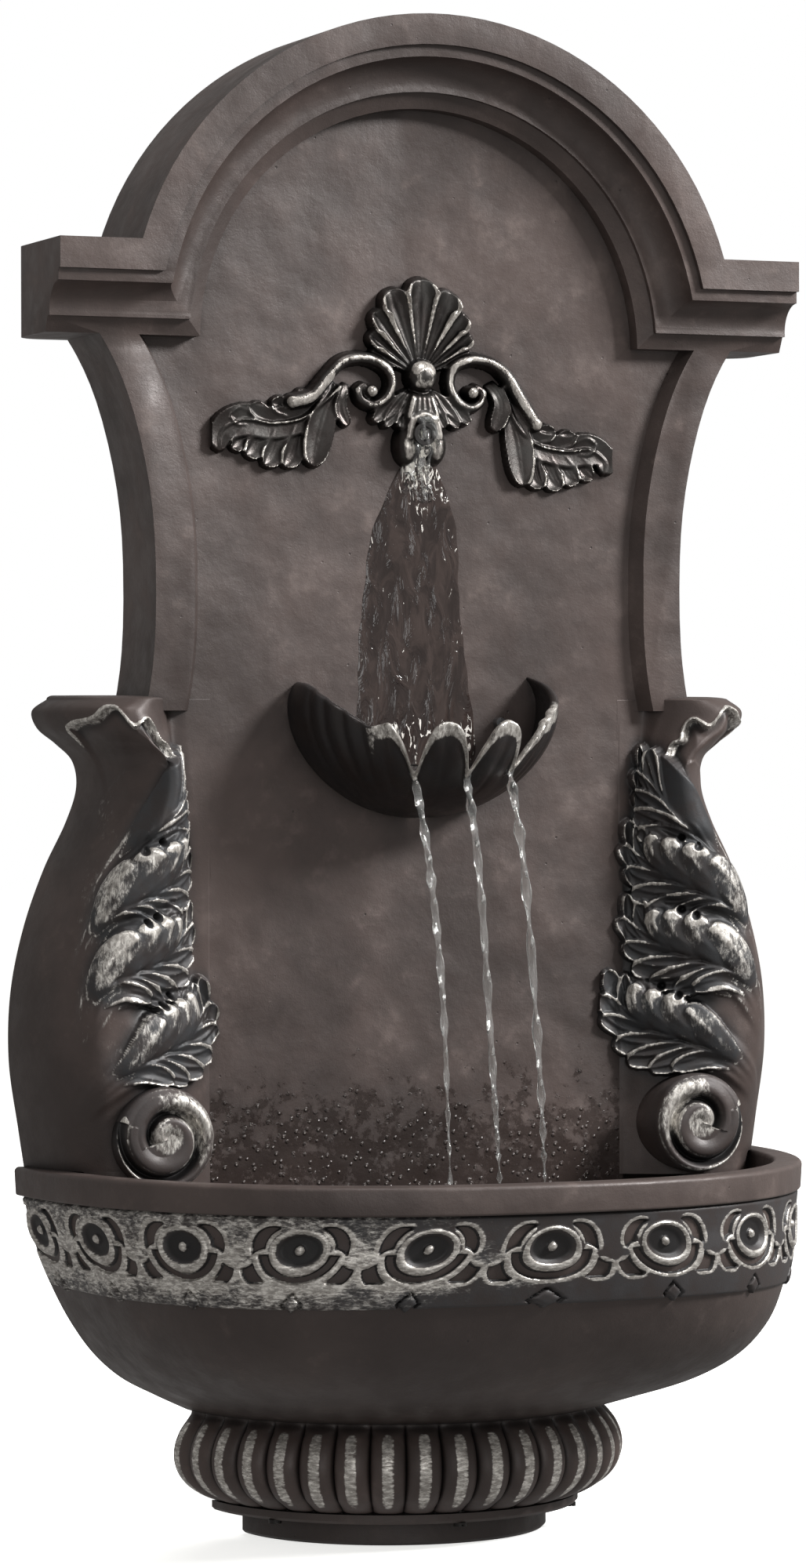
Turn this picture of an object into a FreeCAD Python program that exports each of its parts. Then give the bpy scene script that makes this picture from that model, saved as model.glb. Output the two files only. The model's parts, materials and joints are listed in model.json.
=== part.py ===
import FreeCAD, Part
import math
import os
from FreeCAD import Vector

# Garden wall fountain: an arched backboard, a shell bowl and a bow-fronted basin on a ribbed foot.
# X is to the right, Y points into the wall (the wall face is Y = 0) and Z is up, in millimetres.
# Heights below are measured from the underside of the foot. The saved parts are lowered by
# hanger_height, so that the origin sits midway between the two hanger holes, on the wall face.

# Driving sizes of the head
hanger_height = 640.0
hanger_half_spacing = 90.0
hanger_hole_radius = 4.0
plate_thickness = 2.5
arch_radius = 170.0
arch_centre_z = 620.0
shoulder_half_width = 207.0
shoulder_top_z = 668.4
fascia_y = -74.0
band_y = -50.0
panel_y = -41.0
wall = 6.0
panel_back_y = panel_y + wall

# Moulding of the head, as distance in from the outer edge
fascia_in = 15.8
flat_in = 21.8
cove_in = 38.6
fillet_in = 46.6
flat_y = -71.0
cove_foot_y = -57.0
mitre_clearance = 0.03

# Waist and lower panel
waist_points = [(178, 622), (166, 600), (155.5, 567), (149.5, 533), (147.7, 495), (149, 458), (153.5, 430)]
waist_bottom_z = 430.0
band_width = 22.0
lower_half_width = 118.0
apron_bottom_z = 150.0

# Side volutes: height, half-width at the wall, level of the crown of the front
volute_sections = [(195.5, 203, -58), (215, 206, -60), (250, 211, -66), (285, 210, -67), (318, 203, -67),
                   (348, 192, -67), (372, 180, -67), (390, 174, -67), (404, 176, -67), (413, 185, -68),
                   (421, 195, -68), (430, 198, -67), (436, 190, -62)]
scroll_radius = 26.0
scroll_centre = (150.0, 212.5)
scroll_front_y = -70.0
leaf_thickness = 7.0
leaf_reach_x = 201.0
fronds = [((176, 352), (122, 414), 22, 4, 6), ((186, 312), (119, 372), 25, 4, 6),
          ((190, 272), (117, 330), 26, 4, 6), ((188, 240), (113, 288), 25, 4, 5)]

# Crest: level of its front, ball at the root of the flutes, angle and length of each flute
crest_y = panel_y - 4.0
ball_z = 606.6
flutes = [(0, 49), (17, 48), (33, 44), (48, 38), (63, 31)]
crest_scroll = (35.0, 596.5)

# Basin: height, half-width, depth and squareness of the plan at that height
basin_sections = [(66, 114, 114, 2.0), (74, 131, 138, 2.3), (84, 150, 158, 2.9), (97, 165, 175, 3.3),
                  (113, 177, 189, 3.3), (131, 187, 200, 3.0), (150, 195, 208, 2.7), (166, 200, 213, 2.45),
                  (180.5, 203, 217, 2.35)]
rim_section = (208, 222, 2.3)
rim_bottom_z = 180.5
rim_top_z = 195.5
rim_width = 15.0
basin_wall = 8.0
basin_floor_z = 80.0
inner_sections = [(79, 128, 132, 2.5), (84, 141, 149, 2.9)]
ledge_x = (138.0, 192.0)
ledge_y = (-40.5, -7.0)
ledge_thickness = 12.0

# Foot
foot_radius = 123.6
rib_count = 20
rib_depth = 5.0
foot_bottom_z = 18.0
foot_top_z = 66.0
plinth_radius = 83.0
foot_sections = [(18, 100), (24, 112), (32, 119), (42, 123.6), (52, 122), (60, 117), (66, 112)]

# Shell bowl on the panel
bowl_half_width = 70.0
bowl_reach = 79.0
bowl_centre_z = 433.0
bowl_drop = 59.0
bowl_wall = 4.5
bowl_rim_back_z = 441.0
bowl_rim_front_z = 419.0
gutters = [(-26, -14), (0, 0), (26, 14)]
gutter_y = -92.0

# Water path
spout_z = 574.0
tube_radius = 6.0
tube_bore = 4.5
tube_y = -19.0
tube_route = [(30, -70, 118), (30, -45, 118), (31, -21, 148), (34, -19, 196), (34, -19.3, 246),
              (18, -19, 336), (1.5, -19.3, 430), (0, -19, 480), (0, -19, 562)]

# Pump, lying with its outlet towards the wall
pump_x = (20.0, 70.0)
pump_y = (-120.0, -72.0)
pump_z = (90.0, 132.0)
pump_axis = (-96.0, 111.0)
rotor_radius = 9.0
shaft_radius = 1.5
shaft_end = 47.0
cover_thickness = 4.0
strainer_depth = 12.0
outlet_x = 30.0
outlet_z = 118.0
outlet_length = 15.0
foot_places = [(28, -108), (60, -108), (28, -80), (60, -80)]

# Drain and cord gland in the basin floor
drain = (-58.0, -50.0)
gland = (52.0, -28.0)
drain_bore = 7.0
drain_neck = 10.0
gland_neck = 7.0

# Screws, bolts and clips
foot_bolt_x = 78.0
foot_bolt_y = -34.0
foot_bolt_radius = 3.0
plinth_screw_r = 96.0
plinth_screw_angles = (30, 90, 150)
bowl_stud_x = 46.0
bowl_stud_z = 424.0
bowl_stud_radius = 2.5
volute_screw_z = (262.0, 392.0)
volute_screw_y = -18.0
ledge_screw = (160.0, -30.0)
clip_places = [(34.0, 222.0), (0.0, 520.0)]
clip_screw_x = 17.0
plate_screw_z = (-22.0, 14.0)


def box(x, y, z):
    return Part.makeBox(x[1] - x[0], y[1] - y[0], z[1] - z[0], Vector(x[0], y[0], z[0]))


def rod(radius, start, end):
    a = Vector(*start)
    b = Vector(*end)
    return Part.makeCylinder(radius, (b - a).Length, a, b - a)


def cone(radius_a, radius_b, start, end):
    a = Vector(*start)
    b = Vector(*end)
    return Part.makeCone(radius_a, radius_b, (b - a).Length, a, b - a)


def fuse(shapes):
    body = shapes[0]
    if len(shapes) > 1:
        body = body.multiFuse(shapes[1:])
    return body.removeSplitter()


def spline(points):
    curve = Part.BSplineCurve()
    curve.interpolate([Vector(*p) for p in points])
    return curve.toShape()


def line(a, b):
    return Part.makeLine(Vector(*a), Vector(*b))


def mirror_x(shape):
    return shape.mirror(Vector(0, 0, 0), Vector(1, 0, 0))


def hex_prism(across, centre, direction, length):
    d = Vector(*direction)
    side = Vector(0, 0, 1) if abs(d.z) < 0.5 else Vector(1, 0, 0)
    up = d.cross(side)
    r = across / math.sqrt(3)
    points = []
    for k in range(7):
        a = math.radians(60 * k)
        points.append(Vector(*centre) + side * (r * math.cos(a)) + up * (r * math.sin(a)))
    return Part.Face(Part.makePolygon(points)).extrude(d * length)


def save(name, shape):
    placed = shape.copy()
    placed.translate(Vector(0, 0, -hanger_height))
    placed.exportStep("parts/" + name + ".step")
    print(name, len(placed.Solids), round(placed.Volume), placed.isValid())


# Backboard: head with its moulding, waist with a raised band, plain lower panel, open at the back
def head_block(inset, depth):
    radius = arch_radius - inset
    arch = Part.makeCylinder(radius, -depth, Vector(0, 0, arch_centre_z), Vector(0, -1, 0))
    arch = arch.common(box((-radius, radius), (depth, 0), (arch_centre_z, arch_centre_z + radius + 1)))
    half = shoulder_half_width - inset
    low = shoulder_top_z - fillet_in + (wall if inset else 0)
    bar = box((-half, half), (depth, 0), (low, shoulder_top_z - inset))
    if not inset:
        rear = [e for e in bar.Edges if abs(e.CenterOfMass.y) < 0.01]
        bar = bar.makeFillet(14.0, [e for e in rear if abs(abs(e.CenterOfMass.x) - half) < 0.01])
        rear = [e for e in arch.Edges if abs(e.CenterOfMass.y) < 0.01]
        arch = arch.makeFillet(5.0, [e for e in rear if e.Curve.TypeId == "Part::GeomCircle"])
    return fuse([arch, bar])


def moulding_cutter():
    # the same section, turned about the arch and drawn along the shoulders, mitres by itself
    front = fascia_y - 1
    cove_mid = (flat_in + 0.30 * (cove_in - flat_in), cove_foot_y - 0.30 * (cove_foot_y - flat_y) + 1.0)
    plan = [(fascia_in, front), (fascia_in, flat_y), (flat_in, flat_y)]
    foot = [(cove_in, cove_foot_y), (cove_in, cove_foot_y + 3), (fillet_in, band_y), (fillet_in, panel_y)]

    def section(place, inner):
        edges = []
        outline = plan + foot
        for k in range(len(outline) - 1):
            a = outline[k]
            b = outline[k + 1]
            if a == plan[-1]:
                arc = Part.Arc(Vector(*place(*a)), Vector(*place(*cove_mid)), Vector(*place(*b)))
                edges.append(arc.toShape())
            else:
                edges.append(line(place(*a), place(*b)))
        edges.append(line(place(fillet_in, panel_y), place(inner, panel_y)))
        edges.append(line(place(inner, panel_y), place(inner, front)))
        edges.append(line(place(inner, front), place(fascia_in, front)))
        return Part.Face(Part.Wire(edges))

    def on_arch(inset, y):
        return (arch_radius - inset, y, arch_centre_z)

    def on_shoulder(inset, y):
        return (-shoulder_half_width - 1, y + mitre_clearance, shoulder_top_z - inset - mitre_clearance)

    ring = section(on_arch, arch_radius).revolve(Vector(0, 0, arch_centre_z), Vector(0, -1, 0), 180)
    # below the fillet the shoulder stops, so its section ends just under it
    edges = section(on_shoulder, fillet_in + 5)
    strip = edges.extrude(Vector(2 * shoulder_half_width + 2, 0, 0))
    keep = box((-arch_radius, arch_radius), (panel_y - 0.01, 0), (0, 700))
    strip = strip.cut(keep)
    return ring, strip


def waist_outline(inset, y):
    right = [(x - inset, y, z) for x, z in waist_points]
    left = [(-x, yy, z) for x, yy, z in right]
    bottom = line(right[-1], left[-1])
    top = line(left[0], right[0])
    return Part.Wire([spline(right), bottom, spline(left[::-1]), top])


def make_backboard():
    head = head_block(0, fascia_y)
    ring, strip = moulding_cutter()
    head = head.cut(ring).cut(strip)
    waist = Part.Face(waist_outline(0, 0)).extrude(Vector(0, band_y, 0))
    band_low = waist_outline(band_width + 4, panel_y)
    band_high = waist_outline(band_width - 1, band_y - 0.5)
    recess = Part.makeLoft([band_low, band_high], True, True)
    top_gap = box((-arch_radius + fillet_in, arch_radius - fillet_in), (band_y - 1, panel_y), (610, 625))
    waist = waist.cut(recess).cut(top_gap)
    lower = box((-lower_half_width, lower_half_width), (panel_y, 0), (apron_bottom_z, waist_bottom_z))
    body = fuse([head, waist, lower]).cut(hollow_back())
    body = body.cut(box((-lower_half_width - 1, lower_half_width + 1), (-basin_wall, 1), (0, rim_top_z)))
    body = fuse([body, hanger_boss(-hanger_half_spacing), hanger_boss(hanger_half_spacing)])
    body = body.cut(rod(6.0, (0, -60, spout_z), (0, 0, spout_z)))
    for side in (-1, 1):
        x = side * bowl_stud_x
        body = body.cut(rod(bowl_stud_radius, (x, -60, bowl_stud_z), (x, 0, bowl_stud_z)))
        for z in volute_screw_z:
            body = body.cut(rod(2.2, (side * 100, volute_screw_y, z), (side * 125, volute_screw_y, z)))
    for clip_x, z in clip_places:
        for x in (clip_x - clip_screw_x, clip_x + clip_screw_x):
            body = body.cut(rod(1.4, (x, panel_back_y + 1, z), (x, panel_back_y - 4, z)))
    return body


def hollow_back():
    inner = lower_half_width - wall - 0.5
    lower = box((-inner, inner), (panel_back_y, 1), (apron_bottom_z - 1, waist_bottom_z + 10))
    waist = Part.Face(waist_outline(wall + 0.5, 1)).extrude(Vector(0, panel_back_y - 1, 0))
    # the deeper groove behind the arch moulding
    groove = rod(arch_radius - wall, (0, -1, arch_centre_z), (0, -65, arch_centre_z))
    groove = groove.cut(rod(arch_radius - fascia_in + 1, (0, 0, arch_centre_z), (0, -70, arch_centre_z)))
    groove = groove.cut(box((-200, 200), (-80, 10), (0, shoulder_top_z - wall)))
    return fuse([head_block(wall, panel_back_y), waist, lower, groove])


def hanger_boss(x):
    # a block with a blind pocket behind the hanger hole
    z = hanger_height
    boss = box((x - 18, x + 18), (panel_back_y - 1, -plate_thickness), (z - 32, z + 22))
    boss = boss.cut(rod(8, (x, 1, z), (x, -24, z)))
    for dz in plate_screw_z:
        boss = boss.cut(rod(1.5, (x, 1, z + dz), (x, -16, z + dz)))
    return boss


# Side volutes: upright brackets with a rolled lip, lofted through level sections
def volute_loft(grow, inner):
    wires = []
    for z, half, crown in volute_sections:
        outer = half + grow
        front = crown - grow
        points = [(outer, 0, z), (outer - 3, -20, z), (outer - 11 + 0.3 * grow, -42, z),
                  (outer - 27, front + 3, z), (0.55 * inner + 0.45 * (outer - 27), front - 0.5, z),
                  (inner + 6, 0.55 * front + 0.45 * panel_y, z), (inner, panel_y - 0.6 * grow, z)]
        edges = [spline(points), line(points[-1], (inner, 0, z)), line((inner, 0, z), points[0])]
        wires.append(Part.Wire(edges))
    return Part.makeLoft(wires, True, False)


def leaf_outline(base, tip, half_width, lobes, bow):
    # a toothed leaf from base to tip in the X-Z plane, bowed to one side
    ax, az = base
    bx, bz = tip
    length = math.hypot(bx - ax, bz - az)
    ux = (bx - ax) / length
    uz = (bz - az) / length

    def place(t, side, tooth):
        width = half_width * math.sin(math.pi * (0.08 + 0.90 * t) ** 0.85) * tooth
        along = t * length
        across = side * width + bow * math.sin(math.pi * t)
        return Vector(ax + ux * along - uz * across, -120, az + uz * along + ux * across)

    def side_points(side):
        points = [place(0.0, side, 1.0)]
        for k in range(lobes):
            points.append(place((k + 0.72) / (lobes + 0.6), side, 1.15))
            points.append(place((k + 0.98) / (lobes + 0.6), side, 0.84))
        return points

    outline = side_points(1) + [place(1.0, 0, 1.0)] + side_points(-1)[::-1]
    outline.append(outline[0])
    return Part.Face(Part.makePolygon(outline)).extrude(Vector(0, 120, 0))


def make_volute_parts(board_envelope):
    block = volute_loft(0, lower_half_width)
    body = block.cut(board_envelope)
    cx, cz = scroll_centre
    scroll_hole = rod(scroll_radius, (cx, -100, cz), (cx, panel_y, cz))
    body = body.cut(scroll_hole)
    for z in volute_screw_z:
        body = body.cut(rod(2.0, (110, volute_screw_y, z), (138, volute_screw_y, z)))
    x, y = ledge_screw
    body = body.cut(rod(2.2, (x, y, 190), (x, y, 222)))
    grown = volute_loft(leaf_thickness, lower_half_width - 4)
    leaves = []
    for base, tip, half_width, lobes, bow in fronds:
        leaves.append(leaf_outline(base, tip, half_width, lobes, bow))
    spray = fuse(leaves).common(grown).cut(block).cut(board_envelope).cut(scroll_hole)
    spray = spray.common(box((100, leaf_reach_x), (-90, panel_y), (200, 440)))
    spray = Part.makeCompound([s for s in spray.Solids if s.Volume > 400])
    return body, spray


# Spiral scroll at the foot of each volute: a drum with a raised coil on its face
def spiral_bead(centre, start, shrink, halves, y, radius):
    # half turns of falling radius, each tangent to the last
    cx, cz = centre
    x = cx + start
    r = start
    way = 1
    edges = []
    for k in range(halves):
        end = x - 2 * r * way
        middle = Vector((x + end) / 2, y, cz + way * r)
        edges.append(Part.Arc(Vector(x, y, cz), middle, Vector(end, y, cz)).toShape())
        x = end
        way = -way
        r -= shrink
    path = Part.Wire(edges)
    circle = Part.Wire([Part.Circle(path.Vertexes[0].Point, Vector(0, 0, 1), radius).toShape()])
    return path.makePipeShell([circle], True, False)


def make_scroll():
    cx, cz = scroll_centre
    drum = rod(scroll_radius, (cx, scroll_front_y + 4, cz), (cx, panel_y, cz))
    bead = spiral_bead(scroll_centre, scroll_radius - 3.4, 4.6, 4, scroll_front_y + 3.6, 3.2)
    eye = Part.makeSphere(5.0, Vector(cx, scroll_front_y + 4.4, cz))
    return fuse([drum, bead, eye])


# Crest on the panel: scallop shell, two C-scrolls running into leaves, and the spout mouth
def make_crest_shell():
    parts = [Part.makeSphere(8.2, Vector(0, crest_y - 6, ball_z))]
    parts.append(rod(8.0, (0, crest_y - 5, ball_z), (0, panel_y, ball_z)))
    for angle, length in flutes:
        for turn in {angle, -angle}:
            a = math.radians(turn)
            tip = (length * math.sin(a), crest_y - 5, ball_z + length * math.cos(a))
            parts.append(cone(2.2, 5.6, (0, crest_y - 2, ball_z), tip))
            parts.append(Part.makeSphere(5.6, Vector(*tip)))
    shell = fuse(parts)
    return shell.common(box((-60, 60), (-80, panel_y), (560, 700)))


def make_crest_leaf():
    x, z = crest_scroll
    bead = spiral_bead(crest_scroll, 12.5, 3.4, 3, crest_y - 3, 3.4)
    eye = Part.makeSphere(4.2, Vector(x, crest_y - 3, z))
    web = rod(13.5, (x, crest_y - 1.5, z), (x, panel_y, z))
    arm = leaf_outline((44, 606), (104, 566), 12, 4, 5)
    arm = arm.common(box((0, 130), (crest_y - 6, panel_y), (500, 700)))
    drop = leaf_outline((50, 600), (72, 556), 9, 2, 2)
    drop = drop.common(box((0, 130), (crest_y - 4, panel_y), (500, 700)))
    tip = Part.makeSphere(5.5, Vector(106, crest_y - 2, 563))
    body = fuse([web, bead, eye, arm, drop, tip])
    return body.common(box((0, 140), (-80, panel_y), (500, 700)))


def make_spout_mask():
    parts = []
    for k in range(-3, 4):
        a = math.radians(180 + 15 * k)
        tip = (20 * math.sin(a), crest_y - 4, ball_z - 8 + 19 * math.cos(a))
        parts.append(cone(2.0, 3.6, (0, crest_y - 2, ball_z - 8), tip))
    parts.append(rod(11, (0, crest_y - 8, spout_z), (0, panel_y, spout_z)))
    for side in (-1, 1):
        parts.append(Part.makeSphere(6.5, Vector(side * 9, crest_y - 3, spout_z - 9)))
        leaf = leaf_outline((side * 6, 590), (side * 31, 575), 6, 2, 0)
        parts.append(leaf.common(box((-60, 60), (crest_y - 3, panel_y), (500, 700))))
    body = fuse(parts).common(box((-60, 60), (-80, panel_y), (500, 700)))
    body = body.cut(rod(6.0, (0, -90, spout_z), (0, panel_y + 1, spout_z)))
    channel = box((-3.5, 3.5), (-90, crest_y - 5), (spout_z - 30, spout_z))
    return body.cut(channel)


# Shell bowl: a half dish against the panel, its front rim nicked by three pouring gutters
def ellipsoid(rx, ry, rz, centre):
    ball = Part.makeSphere(1.0)
    m = FreeCAD.Matrix()
    m.scale(rx, ry, rz)
    ball = ball.transformGeometry(m)
    ball.translate(Vector(*centre))
    return ball


def make_shell_bowl():
    centre = (0, panel_y, bowl_centre_z)
    outer = ellipsoid(bowl_half_width, bowl_reach, bowl_drop, centre)
    inner = ellipsoid(bowl_half_width - bowl_wall, bowl_reach - bowl_wall, bowl_drop - bowl_wall, centre)
    inner = inner.common(box((-100, 100), (-200, panel_y - 5), (300, 500)))
    front = panel_y - bowl_reach
    side = [(panel_y, bowl_rim_back_z), (front, bowl_rim_front_z), (front - 30, bowl_rim_front_z)]
    side += [(front - 30, 560), (panel_y, 560), side[0]]
    lid = Part.Face(Part.makePolygon([Vector(-100, y, z) for y, z in side])).extrude(Vector(200, 0, 0))
    body = outer.common(box((-100, 100), (-200, panel_y), (300, 500))).cut(inner).cut(lid)
    for x, turn in gutters:
        left = Vector(-5.5, 0, 24)
        wedge = Part.makePolygon([left, Vector(0, 0, 0), Vector(5.5, 0, 24), left])
        wedge = Part.Face(wedge).extrude(Vector(0, -40, 0))
        wedge.rotate(Vector(0, 0, 0), Vector(0, 0, 1), turn)
        wedge.translate(Vector(x, gutter_y, bowl_rim_front_z - 17))
        body = body.cut(wedge)
    for x in (-bowl_stud_x, bowl_stud_x):
        body = body.cut(rod(bowl_stud_radius, (x, -60, bowl_stud_z), (x, panel_y + 1, bowl_stud_z)))
    return body


# Basin: a bow-fronted bowl with a flat back, lofted through level sections
def plan_wire(half, depth, square, z):
    count = 24
    points = []
    for k in range(count + 1):
        a = math.pi * k / count
        x = -half * math.copysign(abs(math.cos(a)) ** (2 / square), math.cos(a))
        y = -depth * math.sin(a) ** (2 / square) if 0 < k < count else 0.0
        points.append((x, y, z))
    return Part.Wire([spline(points), line(points[-1], points[0])])


def rim_slab(inset, z_low, z_high):
    half, depth, square = rim_section
    low = plan_wire(half - inset - 1.5, depth - inset - 1.5, square, z_low)
    high = plan_wire(half - inset, depth - inset, square, z_high)
    return Part.makeLoft([low, high], True, True)


def make_basin():
    outer = Part.makeLoft([plan_wire(h, d, s, z) for z, h, d, s in basin_sections], True, False)
    rim = rim_slab(0, rim_bottom_z, rim_top_z)
    inner_wires = [plan_wire(h, d, s, z) for z, h, d, s in inner_sections]
    for z, h, d, s in basin_sections[3:]:
        inner_wires.append(plan_wire(h - basin_wall, d - basin_wall, s, z))
    half, depth, square = rim_section
    inner_wires.append(plan_wire(half - rim_width, depth - rim_width, square, rim_top_z + 1))
    inner = Part.makeLoft(inner_wires, True, True)
    inner = inner.common(box((-300, 300), (-300, -basin_wall), (basin_floor_z, 300)))
    # ledges in the rear corners carry the volutes
    ledge = box(ledge_x, ledge_y, (rim_top_z - ledge_thickness, rim_top_z))
    body = fuse([fuse([outer, rim]).cut(inner), ledge, mirror_x(ledge)])
    x, y = ledge_screw
    for side in (-1, 1):
        body = body.cut(rod(2.7, (side * x, y, 160), (side * x, y, 200)))
    return cut_floor_holes(body)


def cut_floor_holes(body):
    # bolt holes, drain and cord hole, which pass through the basin floor and the top of the foot
    bolt_hole = foot_bolt_radius + 0.2
    holes = [(-foot_bolt_x, foot_bolt_y, bolt_hole), (foot_bolt_x, foot_bolt_y, bolt_hole)]
    holes += [(drain[0], drain[1], drain_neck), (gland[0], gland[1], gland_neck)]
    for x, y, radius in holes:
        body = body.cut(rod(radius, (x, y, 40), (x, y, 90)))
    return body


# Foot: twenty upright ribs round a half circle, hollow behind, on a plain half-round plinth
def rib_wire(radius, z):
    edges = []
    inner = radius - rib_depth
    for k in range(rib_count):
        a = math.pi * k / rib_count
        b = math.pi * (k + 1) / rib_count
        m = (a + b) / 2
        p = Vector(-inner * math.cos(a), -inner * math.sin(a), z)
        q = Vector(-radius * math.cos(m), -radius * math.sin(m), z)
        s = Vector(-inner * math.cos(b), -inner * math.sin(b), z)
        if k == 0:
            p.y = 0
        if k == rib_count - 1:
            s.y = 0
        edges.append(Part.Arc(p, q, s).toShape())
    inner_end = Vector(inner, 0, z)
    edges.append(Part.makeLine(inner_end, Vector(-inner, 0, z)))
    return Part.Wire(edges)


def half_disc(radius, z_low, z_high):
    disc = Part.makeCylinder(radius, z_high - z_low, Vector(0, 0, z_low))
    return disc.common(box((-300, 300), (-300, 0), (z_low - 1, z_high + 1)))


def make_foot():
    body = Part.makeLoft([rib_wire(r, z) for z, r in foot_sections], True, True)
    hollow = half_disc(92, foot_bottom_z - 1, foot_top_z - 6)
    body = body.cut(hollow)
    body = body.cut(box((-92, 92), (-1, 1), (foot_bottom_z - 1, foot_top_z - 6)))
    body = cut_floor_holes(body)
    for x, y in plinth_screw_places():
        body = body.cut(rod(1.8, (x, y, 10), (x, y, 30)))
    return body


def plinth_screw_places():
    turns = [math.radians(angle) for angle in plinth_screw_angles]
    return [(-plinth_screw_r * math.cos(a), -plinth_screw_r * math.sin(a)) for a in turns]


def make_plinth():
    body = fuse([half_disc(plinth_radius + 17, 13, foot_bottom_z), half_disc(plinth_radius, 0, 13)])
    body = body.cut(half_disc(plinth_radius - 8, -1, foot_bottom_z + 1))
    for x, y in plinth_screw_places():
        body = body.cut(rod(1.8, (x, y, 10), (x, y, 30)))
    return body


# Supply tube: straight runs joined by the largest tangent arcs that the route allows
def tube_path(points):
    pts = [Vector(*p) for p in points]
    edges = []
    radii = []
    start = pts[0]
    for k in range(1, len(pts) - 1):
        a = pts[k - 1] - pts[k]
        b = pts[k + 1] - pts[k]
        turn = math.pi - a.getAngle(b)
        reach = 0.45 * min(a.Length, b.Length)
        radius = reach / math.tan(turn / 2)
        a.normalize()
        b.normalize()
        p = pts[k] + a * reach
        q = pts[k] + b * reach
        centre = pts[k] + (a + b).normalize() * math.hypot(radius, reach)
        middle = centre + (pts[k] - centre).normalize() * radius
        edges.append(Part.LineSegment(start, p).toShape())
        edges.append(Part.Arc(p, middle, q).toShape())
        radii.append(round(radius))
        start = q
    edges.append(Part.LineSegment(start, pts[-1]).toShape())
    print("tube radii", radii)
    return Part.Wire(edges)


def sweep(path, radius):
    first = path.Edges[0].Vertexes[0].Point
    second = path.Edges[0].Vertexes[-1].Point
    circle = Part.Wire([Part.Circle(first, second - first, radius).toShape()])
    solid = path.makePipeShell([circle], True, False)
    expected = math.pi * radius ** 2 * path.Length
    print("sweep volume over section times length", round(solid.Volume / expected, 3))
    return solid


def make_tube():
    path = tube_path(tube_route)
    print("tube length", round(path.Length, 1))
    return sweep(path, tube_radius).cut(sweep(path, tube_bore))


def make_nozzle():
    barrel = rod(6.0, (0, -54, spout_z), (0, -14, spout_z))
    tail = rod(tube_bore, (0, tube_y, spout_z), (0, tube_y, 546))
    bore = rod(4.0, (0, -55, spout_z), (0, -18, spout_z))
    tail_bore = rod(3.0, (0, tube_y, spout_z), (0, tube_y, 545))
    return fuse([barrel, tail]).cut(fuse([bore, tail_bore]))


def ring(outer, inner, start, end):
    a = Vector(*start)
    b = Vector(*end)
    over = (b - a).normalize()
    return rod(outer, start, end).cut(rod(inner, tuple(a - over), tuple(b + over)))


def screw(radius, head_radius, tip, under_head, head_length):
    a = Vector(*under_head)
    d = (a - Vector(*tip)).normalize()
    top = a + d * head_length
    slot_dir = Vector(0, 0, 1) if abs(d.z) < 0.5 else Vector(0, 1, 0)
    side = d.cross(slot_dir)
    body = fuse([rod(radius, tip, under_head), rod(head_radius, under_head, tuple(top))])
    slot = Part.makeBox(2 * head_radius + 2, 1.0, 1.2)
    slot.translate(Vector(-head_radius - 1, -0.5, -1.0))
    place = FreeCAD.Placement(top, FreeCAD.Rotation(slot_dir, side, d, "ZXY"))
    slot.Placement = place.multiply(slot.Placement)
    return body.cut(slot)


# Pump: box housing with a wet chamber, cover, strainer, magnet rotor on a fixed pin
def make_pump_housing():
    y, z = pump_axis
    body = box(pump_x, pump_y, pump_z)
    body = body.makeFillet(5.0, [e for e in body.Edges if abs(e.tangentAt(e.FirstParameter).x) > 0.9])
    body = body.cut(rod(15.5, (pump_x[0] - 1, y, z), (pump_x[0] + 14, y, z)))
    body = body.cut(rod(rotor_radius + 0.6, (pump_x[0] + 10, y, z), (pump_x[0] + 44, y, z)))
    body = body.cut(rod(shaft_radius, (pump_x[0] + 40, y, z), (pump_x[0] + shaft_end, y, z)))
    body = body.cut(rod(4.5, (outlet_x, y, outlet_z), (outlet_x, pump_y[1] + 1, outlet_z)))
    for fx, fy in foot_places:
        body = body.cut(rod(2.0, (fx, fy, 80), (fx, fy, 96)))
    return body


def make_pump_cover():
    y, z = pump_axis
    back = pump_x[0]
    front = back - cover_thickness
    body = box((front, back), (pump_y[0] + 1, pump_y[1] - 1), (pump_z[0] + 1, pump_z[1] - 1))
    body = body.cut(rod(9, (front - 1, y, z), (back + 1, y, z)))
    level_spoke = box((front, back), (y - 9.5, y + 9.5), (z - 1.2, z + 1.2))
    upright_spoke = box((front, back), (y - 1.2, y + 1.2), (z - 9.5, z + 9.5))
    body = fuse([body, rod(3.5, (front, y, z), (back, y, z)), level_spoke, upright_spoke])
    return body.cut(rod(2.5, (back - 2.5, y, z), (back + 1, y, z)))


def make_impeller():
    x = pump_x[0]
    y, z = pump_axis
    body = [rod(rotor_radius, (x + 15, y, z), (x + 42, y, z)), rod(4.5, (x + 2, y, z), (x + 16, y, z))]
    for k in range(6):
        blade = box((x + 2.5, x + 13), (y - 0.9, y + 0.9), (z + 3, z + 14))
        blade.rotate(Vector(0, y, z), Vector(1, 0, 0), 60 * k)
        body.append(blade)
    return fuse(body).cut(rod(shaft_radius + 0.06, (x, y, z), (x + 50, y, z)))


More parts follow.
